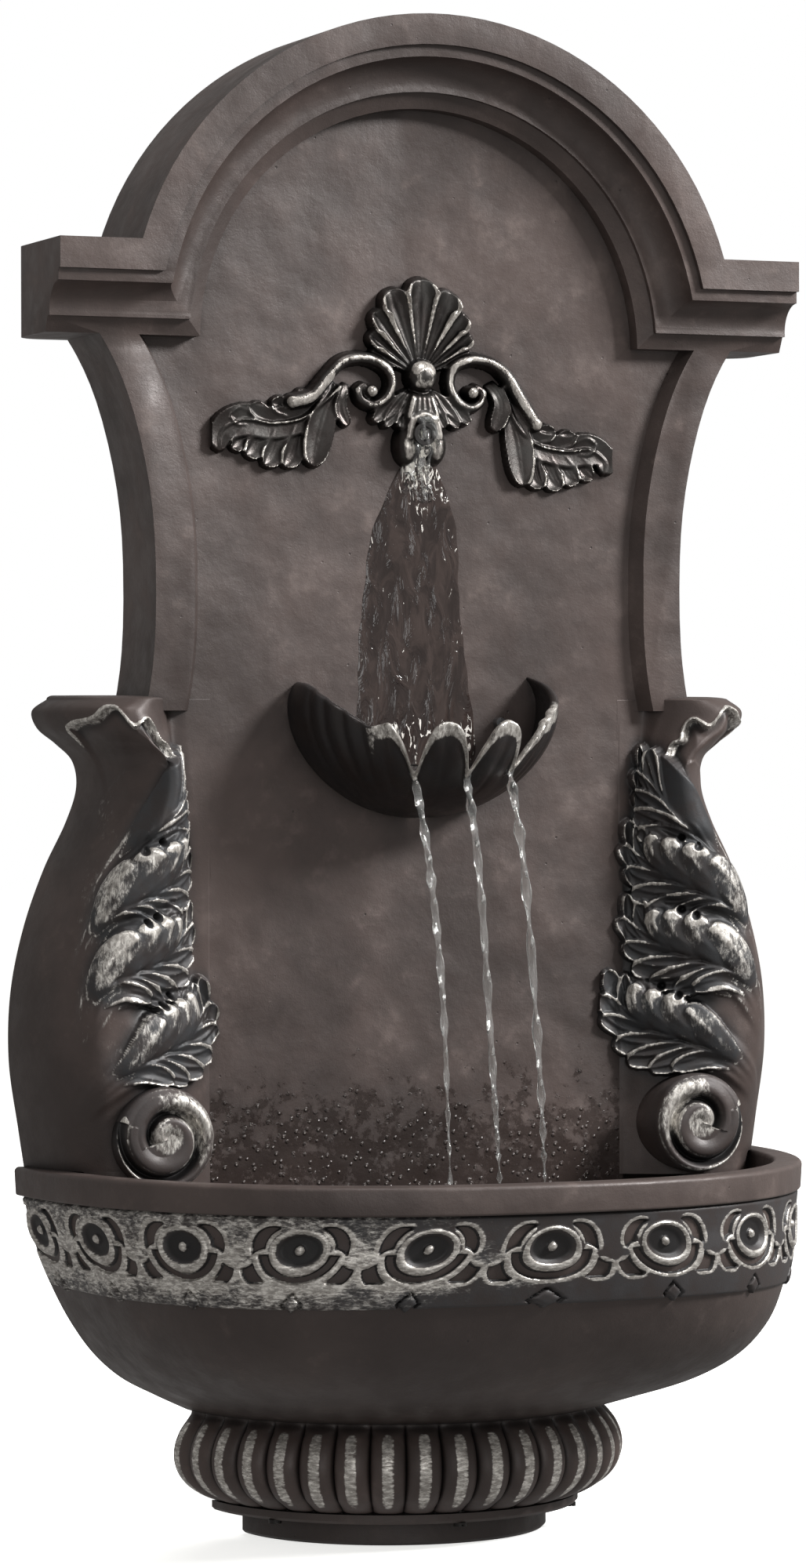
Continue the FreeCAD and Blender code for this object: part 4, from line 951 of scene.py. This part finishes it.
def makeCrest():
    columns = 440
    rows = 226
    xs, zs = np.meshgrid(np.linspace(-115, 111, columns), np.linspace(545, 660.5, rows))
    sheet = newSheet(xs, zs, level=-0.6)
    addShell(sheet)
    for leaf in (leafLeft, leafRight):
        addCrestLeaf(sheet, leaf)
    for line in (scrollLeft, scrollRight):
        addStrand(sheet, line, 4.1, 5.4, lift=3.4, taper=0.66, paint=0.18)
        x, z = line[-1]
        addDome(sheet, (0.72 * x + 0.28 * line[-5][0], z - 2.6), (3.6, 3.6), 4.5, lift=6.0, paint=0.1)
    for k in range(-2, 3):
        tip = (0.8 + 4.2 * k, 579.5 + 0.7 * abs(k))
        addKnuckle(sheet, [(0.8 + 1.6 * k, 601), (0.8 + 2.8 * k, 590), tip], 2.4, 2.2, 7.5, flutes=1, paint=0.25)
    for side in (-1, 1):
        for tipX, tipZ, width in ((29, 580.5, 4.4), (22, 577.5, 4.2), (14, 577, 4.0)):
            line = [(0.8 + side * 3, 598), (0.8 + side * 0.55 * tipX, 589), (0.8 + side * (tipX - 1), tipZ)]
            addLobe(sheet, line, width, 1.8, 5.0, curl=2.4, paint=0.05)
        addDome(sheet, (side * 7.8 + 0.8, 568.5), (7, 11), 9.5, lift=1.0, paint=0.1)
    addStrand(sheet, [(-7, 573), (-5, 581), (1.2, 584.5), (7.4, 581), (9.4, 573)], 2.6, 3.0, lift=7.5, paint=0.25)
    addDome(sheet, crest["ball"], (crest["ballRadius"], crest["ballRadius"]), 8.0, lift=5.0, paint=0.05)
    sinkHole(sheet, (1.2, 576.5), 4.6, 9)
    sheet["relief"] = softMap(sheet["relief"], 1)
    bm = bmesh.new()
    addSheet(bm, (xs, panelY - sheet["relief"], zs), brushMarks(sheet, outline=0.15))
    flat = [f for f in bm.faces if all(v.co.y > (panelY + 0.35) / 1000 for v in f.verts)]
    bmesh.ops.delete(bm, geom=flat, context="FACES")
    piece = makePiece(bm, "Crest_casting", crestFinish, sharpAngle=70)
    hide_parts("crest_shell", "crest_leaf_left", "crest_leaf_right", "spout_mask")


makeCrest()
print("crest made")


# Shell bowl under the spout

shellBowl = {"half": 70, "depth": 79, "height": 59, "centreZ": 433, "wall": 4.2,
             # place round the bowl in degrees from the front, and the height of its lip
             "lip": [(-90, 443), (-78, 441), (-62, 432), (-50, 423.5), (-45, 420), (-41, 420.5), (-36, 421),
                     (-31.5, 412), (-26.5, 396.5), (-21.5, 410), (-17.5, 419), (-12, 422), (-6.5, 419), (-2.5, 410),
                     (2, 397.5), (6.5, 410), (10.5, 419.5), (16.5, 423), (22, 419.5), (26, 411), (31, 400),
                     (36, 412), (41, 421), (47, 425), (58, 432), (74, 441), (90, 446)],
             "gutters": [-26.5, 2, 31], "crestSilver": (-43, 58), "bottom": 374.2, "inside": 381,
             "furrows": (-74, -66, -57, -49, -40, -12, 17, 44, 52),
             # place, silver and width of each brushed crease
             "creases": ((-45, 0.45, 1.6), (-57, 0.2, 1.2))}


def makeShellBowl():
    b = shellBowl
    columns = 300
    degrees = np.linspace(-90, 90, columns)
    lip = np.array(b["lip"])
    stations = np.linspace(0, 1, 900)
    lipAngle, lipHeight = smoothThrough(lip, stations).T
    top = np.interp(degrees, lipAngle, lipHeight)
    a = np.radians(degrees)
    gutter = sum(np.exp(-((degrees - g) / 5.5) ** 2) for g in b["gutters"])
    low, high = b["crestSilver"]
    brushed = smoothStep(low - 6, low + 4, degrees) * smoothStep(high + 8, high - 8, degrees)
    crease = sum(silver * np.exp(-((degrees - place) / width) ** 2) for place, silver, width in b["creases"])
    furrow = sum(np.exp(-((degrees - g) / 2.2) ** 2) for g in b["furrows"])
    # rows from the bottom up the outside, over the lip, and down the inside: height, inset, flare and paint
    rows = []
    for t in np.linspace(0, 1, 46):
        band = 0.75 * smoothStep(0.86, 0.93, t) * brushed + crease * smoothStep(0.55, 0.9, t)
        rows.append((b["bottom"] + (top - b["bottom"]) * t ** 1.15, 0.0, t,
                     band - 0.5 * smoothStep(0.86, 0.8, t) * (crease < 0.1)))
    for turn in np.linspace(0, np.pi, 9)[1:-1]:
        rows.append((top + 1.9 * np.sin(turn), 0.5 * b["wall"] * (1 - np.cos(turn)), 1.0, 0.7 * brushed))
    for t in np.linspace(1, 0, 26):
        rows.append((b["inside"] + (top - b["inside"]) * t ** 1.1, b["wall"], t,
                     0.6 * brushed * smoothStep(0.9, 1.0, t) - 0.4))
    xs, ys, zs = [], [], []
    marks = []
    for z, inset, t, band in rows:
        cosine = np.where(z < b["centreZ"], (b["centreZ"] - z) / b["height"], 1.7 * (z - b["centreZ"]) / b["height"])
        bulge = np.sqrt(1 - np.clip(cosine, 0, 1) ** 2)
        level = smoothStep(380, 425, z)
        furrowed = 0.016 * furrow * smoothStep(376, 400, z)
        flared = 0.05 * smoothStep(0.8, 1.0, t) * (gutter > 0.02) * np.sqrt(gutter)
        flute = 1 + level * (0.035 - 0.10 * gutter) - furrowed + flared
        xs.append((b["half"] - inset) * bulge * flute * np.sin(a))
        ys.append(panelY - (b["depth"] - inset) * bulge * flute * np.cos(a))
        zs.append(z + 0 * a)
        marks.append(band)
    xs, ys, zs = (np.array(axis) for axis in (xs, ys, zs))
    bm = bmesh.new()
    paint = np.array(marks)
    addSheet(bm, (xs, ys, zs), {"paint": paint, "leaf": 1 + 0 * paint})
    piece = makePiece(bm, "Scallop_bowl", bowlFinish, sharpAngle=60)
    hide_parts("shell_bowl")


makeShellBowl()
print("shell bowl made")


# Frieze: a band round the basin with eleven eyes between cut leaf shapes

frieze = {"pitch": 63.6, "eyeHeight": 164, "low": 134.5, "high": 181.5, "proud": 2.4, "cut": 2.3, "columns": 780,
          "rows": 74}


def ovalDepth(u, v, centre, radii):
    # about how many mm a point is inside an ellipse
    a = np.hypot((u - centre[0]) / radii[0], (v - centre[1]) / radii[1])
    return (1 - a) * min(radii)


def eyeRelief(u, v):
    # relief of one tile, u and v from the centre of its eye
    dish = ovalDepth(u, v, (0, 0), (12.2, 8.5))
    rim = ovalDepth(u, v, (0, -0.8), (15.2, 11.6))
    height = np.zeros_like(u)
    silver = np.zeros_like(u)
    under = np.minimum(ovalDepth(u, v, (0, -1.5), (21, 15.5)), -rim)
    under = np.minimum(under, -2 - v)
    cuts = [under]
    for side in (-1, 1):
        crescent = np.minimum(ovalDepth(u, v, (side * 14, 1.5), (10.8, 10.8)), -ovalDepth(u, v, (0, 0), (17.2, 13)))
        cuts.append(np.minimum(crescent, -ovalDepth(u, v, (side * 14, -14), (15, 15))))
        wedge = np.minimum(ovalDepth(u, v, (side * 21.5, -9.5), (8.5, 8.5)),
                           -ovalDepth(u, v, (0, -1.5), (23.8, 18.3)))
        wedge = np.minimum(wedge, -ovalDepth(u, v, (side * 31, 2), (11, 11)))
        cuts.append(np.minimum(wedge, v + 17))
    for cut in cuts:
        height -= frieze["cut"] * smoothStep(-0.15, 1.1, cut)
    raised = np.minimum(rim, -dish)
    height += 1.1 * smoothStep(-0.2, 1.1, raised)
    silver += 0.75 * smoothStep(0, 0.8, raised)
    height -= 1.9 * smoothStep(-0.2, 2.2, dish)
    stud = np.clip(1 - (u ** 2 + v ** 2) / 2.5 ** 2, 0, 1)
    height += 2.6 * np.sqrt(stud)
    silver += np.where(stud > 0, 0.35, 0)
    return height, silver


def makeFrieze():
    f = frieze
    turns, length = evenTurns(f["columns"], 200, 213, 2.45)
    heights = np.linspace(f["low"] - 1.5, f["high"], f["rows"])
    across = np.linspace(-length / 2, length / 2, f["columns"])
    tile = (across + f["pitch"] / 2) % f["pitch"] - f["pitch"] / 2
    us, vs = np.meshgrid(tile, heights - f["eyeHeight"])
    relief, silver = eyeRelief(us, vs)
    # the lower edge, with a small diamond under each eye
    level = vs + f["eyeHeight"]
    diamond = 5.0 - np.abs(us) - np.abs(level - 137.5)
    band = smoothStep(f["low"] - 0.2, f["low"] + 0.6, level)
    notch = smoothStep(0, 0.8, 7.0 - np.abs(us) - np.abs(level - 137.0)) * (diamond < 0)
    body = (f["proud"] + relief) * band - 2.0 * notch
    body = np.where(diamond > 0, f["proud"] + 1.0 * smoothStep(0, 2.5, diamond), body)
    body -= 1.6 * smoothStep(f["high"] - 2.6, f["high"] - 0.6, level)
    whole = across[None, :] + 0 * level
    body *= smoothStep(length / 2, length / 2 - 4, np.abs(whole))
    # silver is rubbed on more freely toward the left
    left = smoothStep(60, -160, whole)
    lowSmear = np.exp(-((level - 147) / 4.5) ** 2) * smoothStep(0, 20, 31 - np.abs(us)) * 0.5
    between = smoothStep(15, 24, np.abs(us)) * np.exp(-((level - 158) / 10) ** 2) * 0.25
    flat = smoothStep(-1.2, -0.2, relief)
    silver += 1.5 * left * lowSmear + (0.35 + 0.65 * left) * between + (0.1 + 0.32 * left) * flat
    shape = []
    rows = smoothThrough(basin["body"], np.linspace(0, 1, 200))
    for z in heights:
        half, depth, square = (np.interp(z, rows[:, 0], rows[:, k]) for k in (1, 2, 3))
        x, y = planPoints(turns, half, depth, square)
        nx = -np.gradient(y)
        ny = np.gradient(x)
        size = np.hypot(nx, ny)
        shape.append((x, y, -nx / size, -ny / size))
    x, y, nx, ny = np.array(shape).transpose(1, 0, 2)
    raised = (relief - softMap(relief, 4)) * 1.2
    # the cut recesses are painted darker in the material: partly the wash pooled there, partly painted shade
    marks = {"relief": raised, "paint": silver, "leaf": 0.8 + 0 * raised, "hollow": smoothStep(-0.6, -2.0, relief)}
    bm = bmesh.new()
    addSheet(bm, (x + nx * (body - 0.3), np.minimum(y + ny * (body - 0.3), 0), level), marks)
    makePiece(bm, "Basin_frieze", friezeFinish, sharpAngle=60)


makeFrieze()
print("frieze made")


# Foot: twenty ribs on a turned body, over a turned plinth

foot = {"ribs": 20, "ribDepth": 6.0, "steps": 520,
        # radius, height
        "profile": [(92, 18), (97, 18), (104, 20), (111, 23.5), (117, 28), (121.5, 34), (123.6, 41), (123.2, 48),
                    (120.5, 55), (116.5, 60.5), (113, 64), (112, 66), (92, 66)],
        "plinth": [(75, 0), (81.5, 0), (83, 1.5), (83, 12.4), (84, 13), (98.5, 13), (100, 14.5), (100, 18), (75, 18)]}


def spinProfile(profile, steps, smooth=0):
    # a half turn of a closed profile about the middle of the foot, against the wall
    bm = bmesh.new()
    points = list(profile)
    if smooth:
        inner = smoothThrough(profile[1:-1], np.linspace(0, 1, smooth))
        points = [profile[0]] + [tuple(p) for p in inner] + [profile[-1]]
    verts = [bm.verts.new(at(r, 0, z)) for r, z in points]
    edges = [bm.edges.new((verts[k], verts[k - 1])) for k in range(len(verts))]
    axis = at(0, 0, 0)
    bmesh.ops.spin(bm, geom=verts + edges, cent=axis, axis=(0, 0, 1), angle=-math.pi, steps=steps, use_merge=False)
    ends = [e for e in bm.edges if e.is_boundary]
    bmesh.ops.holes_fill(bm, edges=ends, sides=0)
    return bm


def makeFoot():
    bm = spinProfile(foot["profile"], foot["steps"], smooth=46)
    relief = bm.verts.layers.float.new("relief")
    paint = bm.verts.layers.float.new("paint")
    for vert in bm.verts:
        x = vert.co.x * 1000
        y = vert.co.y * 1000
        z = vert.co.z * 1000 + hangerHeight
        r = math.hypot(x, y)
        if r < 92.5:
            continue
        angle = math.atan2(-y, x)
        t = (angle / math.pi * foot["ribs"]) % 1.0 * 2 - 1
        crown = math.sqrt(max(0.0, 1 - abs(t) ** 2.2))
        fade = min(1.0, max(0.0, (z - 17.5) / 5)) * min(1.0, max(0.0, (66.5 - z) / 6))
        inward = foot["ribDepth"] * (1 - crown) * fade
        # the ribs' lower ends are rounded as well
        inward += 3.0 * abs(t) ** 3 * max(0.0, 1 - (z - 18) / 8) * (z > 18.5)
        vert.co.x *= (r - inward) / r
        vert.co.y *= (r - inward) / r
        vert[relief] = (crown - 0.88) * 4.8 * fade
        stripe = math.exp(-(t / 0.42) ** 4)
        vert[paint] = stripe * 0.58 * min(1.0, max(0.0, (z - 22) / 5)) * min(1.0, max(0.0, (62 - z) / 4)) - 0.3
    piece = makePiece(bm, "Gadrooned_foot", friezeFinish, sharpAngle=60)
    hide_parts("gadrooned_foot")


def makePlinth():
    bm = spinProfile(foot["plinth"], 180)
    piece = makePiece(bm, "Foot_plinth", basinFinish, sharpAngle=30)
    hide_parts("foot_plinth")


makeFoot()
makePlinth()
print("foot made")


# Water: a film on the panel, a fall from each gutter of the bowl, and the level in bowl and basin

water = {
    # height, middle, half-width and how far the film stands off the panel
    "film": [(577, 2.2, 3.5, 9), (570, 2.1, 5, 8), (560, 1.5, 9, 3), (551, 0.8, 13.5, 1), (535, 0.1, 20, 0.8),
             (515, -1.6, 25, 0.8), (473, -3.1, 28.5, 0.8), (425, -0.8, 33, 0.9), (402, -0.8, 33, 1.2)],
    # x, y and z down each fall
    "falls": [[(-24, -94, 399), (-21, -108, 350), (-19.1, -120, 285), (-20.5, -131, 212), (-21, -136.5, 158)],
              [(2.2, -100.5, 399), (5, -112, 345), (6.1, -126, 245), (6, -134, 195), (6, -137, 158)],
              [(29.2, -94.5, 401), (32, -108, 345), (33, -124, 245), (31.5, -133, 195), (31.5, -136, 158)]],
    "fallRadius": (1.9, 1.1), "strandRadius": (2.7, 1.0), "mouthStrands": [(-2.2, 3.0), (2.4, 2.4), (6.4, 3.2)],
    "pool": {"half": 188.5, "depth": 193, "square": 2.7, "back": -10.0, "height": 158},
    "bowlPool": {"half": 52, "depth": 60, "square": 2.0, "back": panelY - 0.1, "height": 402},
}


def clearWater():
    # clear water: almost all of the light goes through, with sharp glints
    material, add, shader = newMaterial("Clear_water")
    place = add("TexCoord", result="Object")
    ripple = add("TexNoise", {"Vector": place, "Scale": perMillimetre(5), "Detail": 3, "Roughness": 0.55,
                              "Distortion": 0.5})
    bump = add("Bump", {"Strength": 0.5, "Distance": 0.001, "Height": ripple})
    setInputs(shader, {"Normal": bump, "Base Color": "#f4f4f2", "Transmission Weight": 0.93, "IOR": 1.33,
                       "Roughness": 0.04})
    return material


def filmOfWater():
    # a thin film that darkens the wall behind it, streaked down its length, with pale specks where it starts and
    # lands, part foam and part painted sparkle
    material, add, shader = newMaterial("Film_of_water")
    place = add("TexCoord", result="Object")
    drawn = add("Mapping", {"Vector": place, "Scale": (1.0, 1.0, 0.4)})
    streaks = add("TexNoise", {"Vector": drawn, "Scale": perMillimetre(9), "Detail": 4, "Roughness": 0.55,
                               "Distortion": 1.2})
    specks = add("TexNoise", {"Vector": drawn, "Scale": perMillimetre(3.2), "Detail": 3, "Roughness": 0.55,
                              "Distortion": 1.5})
    z = add("SeparateXYZ", (place,), result="Z")
    upper = add("MapRange", (z, (505 - hangerHeight) / 1000, (568 - hangerHeight) / 1000, 0, 0.17), **eased)
    lower = add("MapRange", (z, (434 - hangerHeight) / 1000, (418 - hangerHeight) / 1000, 0, 0.13), **eased)
    # pale specks near the top and bottom: part foam, part painted sparkle
    foamAndSparkle = add("MapRange", (add("Math", (specks, add("Math", (upper, lower), **plus)), **plus), 0.7, 0.75), **eased)
    colour = add("Mix", {0: add("MapRange", (streaks, 0.4, 0.62), **eased), 6: "#2b2422", 7: "#3a312e"}, **inColour)
    colour = add("Mix", {0: foamAndSparkle, 6: colour, 7: "#d8d3cc"}, **inColour)
    rough = add("MapRange", (foamAndSparkle, 0, 1, 0.09, 0.4), **eased)
    height = add("Math", (streaks, add("Math", (foamAndSparkle, 0.4), **times)), **plus)
    finishShader(add, shader, colour, rough, 0.0, height, 0.7, 0.002)
    return material


def makeFilm(material):
    rows = smoothThrough(water["film"], np.linspace(0, 1, 150))[::-1]
    share = np.linspace(-1, 1, 64)[None, :]
    z, middle, half, off = (rows[:, k:k + 1] for k in range(4))
    rough = 1 + 0.012 * np.sin(z / 9.0) + 0.012 * np.sin(z / 3.1 + 1.0)
    xs = middle + half * rough * share
    wave = 0.25 * np.sin(xs / 2.7 + z / 9) + 0.2 * np.sin(xs / 1.6 - z / 6)
    ys = panelY - (off + wave) * np.sqrt(np.clip(1 - share ** 4, 0, 1)) - 0.1
    xs = np.hstack([xs, xs[:, ::-1][:, :1], xs[:, :1]])
    ys = np.hstack([ys, np.full_like(z, panelY + 0.3), np.full_like(z, panelY + 0.3)])
    bm = bmesh.new()
    addSheet(bm, (xs, ys, np.repeat(z, xs.shape[1], axis=1)), {})
    makePiece(bm, "Water_film", material)


def addRope(bm, line, radii, turns, phase):
    # a twisted strand of water, thick and thin by turns, along a line in mm
    t = np.linspace(0, 1, 240)
    x, y, z = smoothThrough(line, t).T
    radius = radii[0] + (radii[1] - radii[0]) * t
    necks = 1 + 0.22 * np.sin(2 * np.pi * turns * t + phase) + 0.16 * np.sin(2 * np.pi * 1.7 * turns * t)
    beads = 1 - 0.75 * smoothStep(0.45, 0.8, t) * (0.5 + 0.5 * np.cos(2 * np.pi * 15 * t)) ** 0.4
    around = np.linspace(0, 2 * np.pi, 19)[None, :]
    spin = (2 * np.pi * 0.5 * turns * t + phase)[:, None]
    r = (radius * necks * beads)[:, None] * (1 + 0.38 * np.cos(2 * (around - spin)))
    points = (x[:, None] + r * np.cos(around), y[:, None] + r * np.sin(around), np.repeat(z[:, None], 19, axis=1))
    addSheet(bm, points, {})


def makeFalls(material):
    for k, line in enumerate(water["falls"]):
        bm = bmesh.new()
        addRope(bm, line, water["fallRadius"], 11, 1.3 * k)
        makePiece(bm, "Water_fall_" + str(k + 1), material, sharpAngle=180)
    for k, (x, reach) in enumerate(water["mouthStrands"]):
        bm = bmesh.new()
        line = [(1.4 + 0.5 * x, -50.5, 583), (x, -51.5, 570), (x - 0.6 * reach, -45, 556), (x + reach, -43, 540)]
        addRope(bm, line, water["strandRadius"], 3, k)
        makePiece(bm, "Water_strand_" + str(k + 1), material, sharpAngle=180)


def makeLevel(name, material, half, depth, square, back, height):
    # level water inside an outline
    turns, _ = evenTurns(90, half, depth, square)
    x, y = planPoints(turns, half, depth, square)
    bm = bmesh.new()
    bm.faces.new([bm.verts.new(at(px, min(back + py, back), height)) for px, py in zip(x, y)])
    bmesh.ops.inset_region(bm, faces=bm.faces, thickness=0.002, depth=0)
    makePiece(bm, name, material)


clear = clearWater()
makeFilm(filmOfWater())
makeFalls(clear)
makeLevel("Water_in_basin", clear, **water["pool"])
makeLevel("Water_in_bowl", clear, **water["bowlPool"])
print("water made")
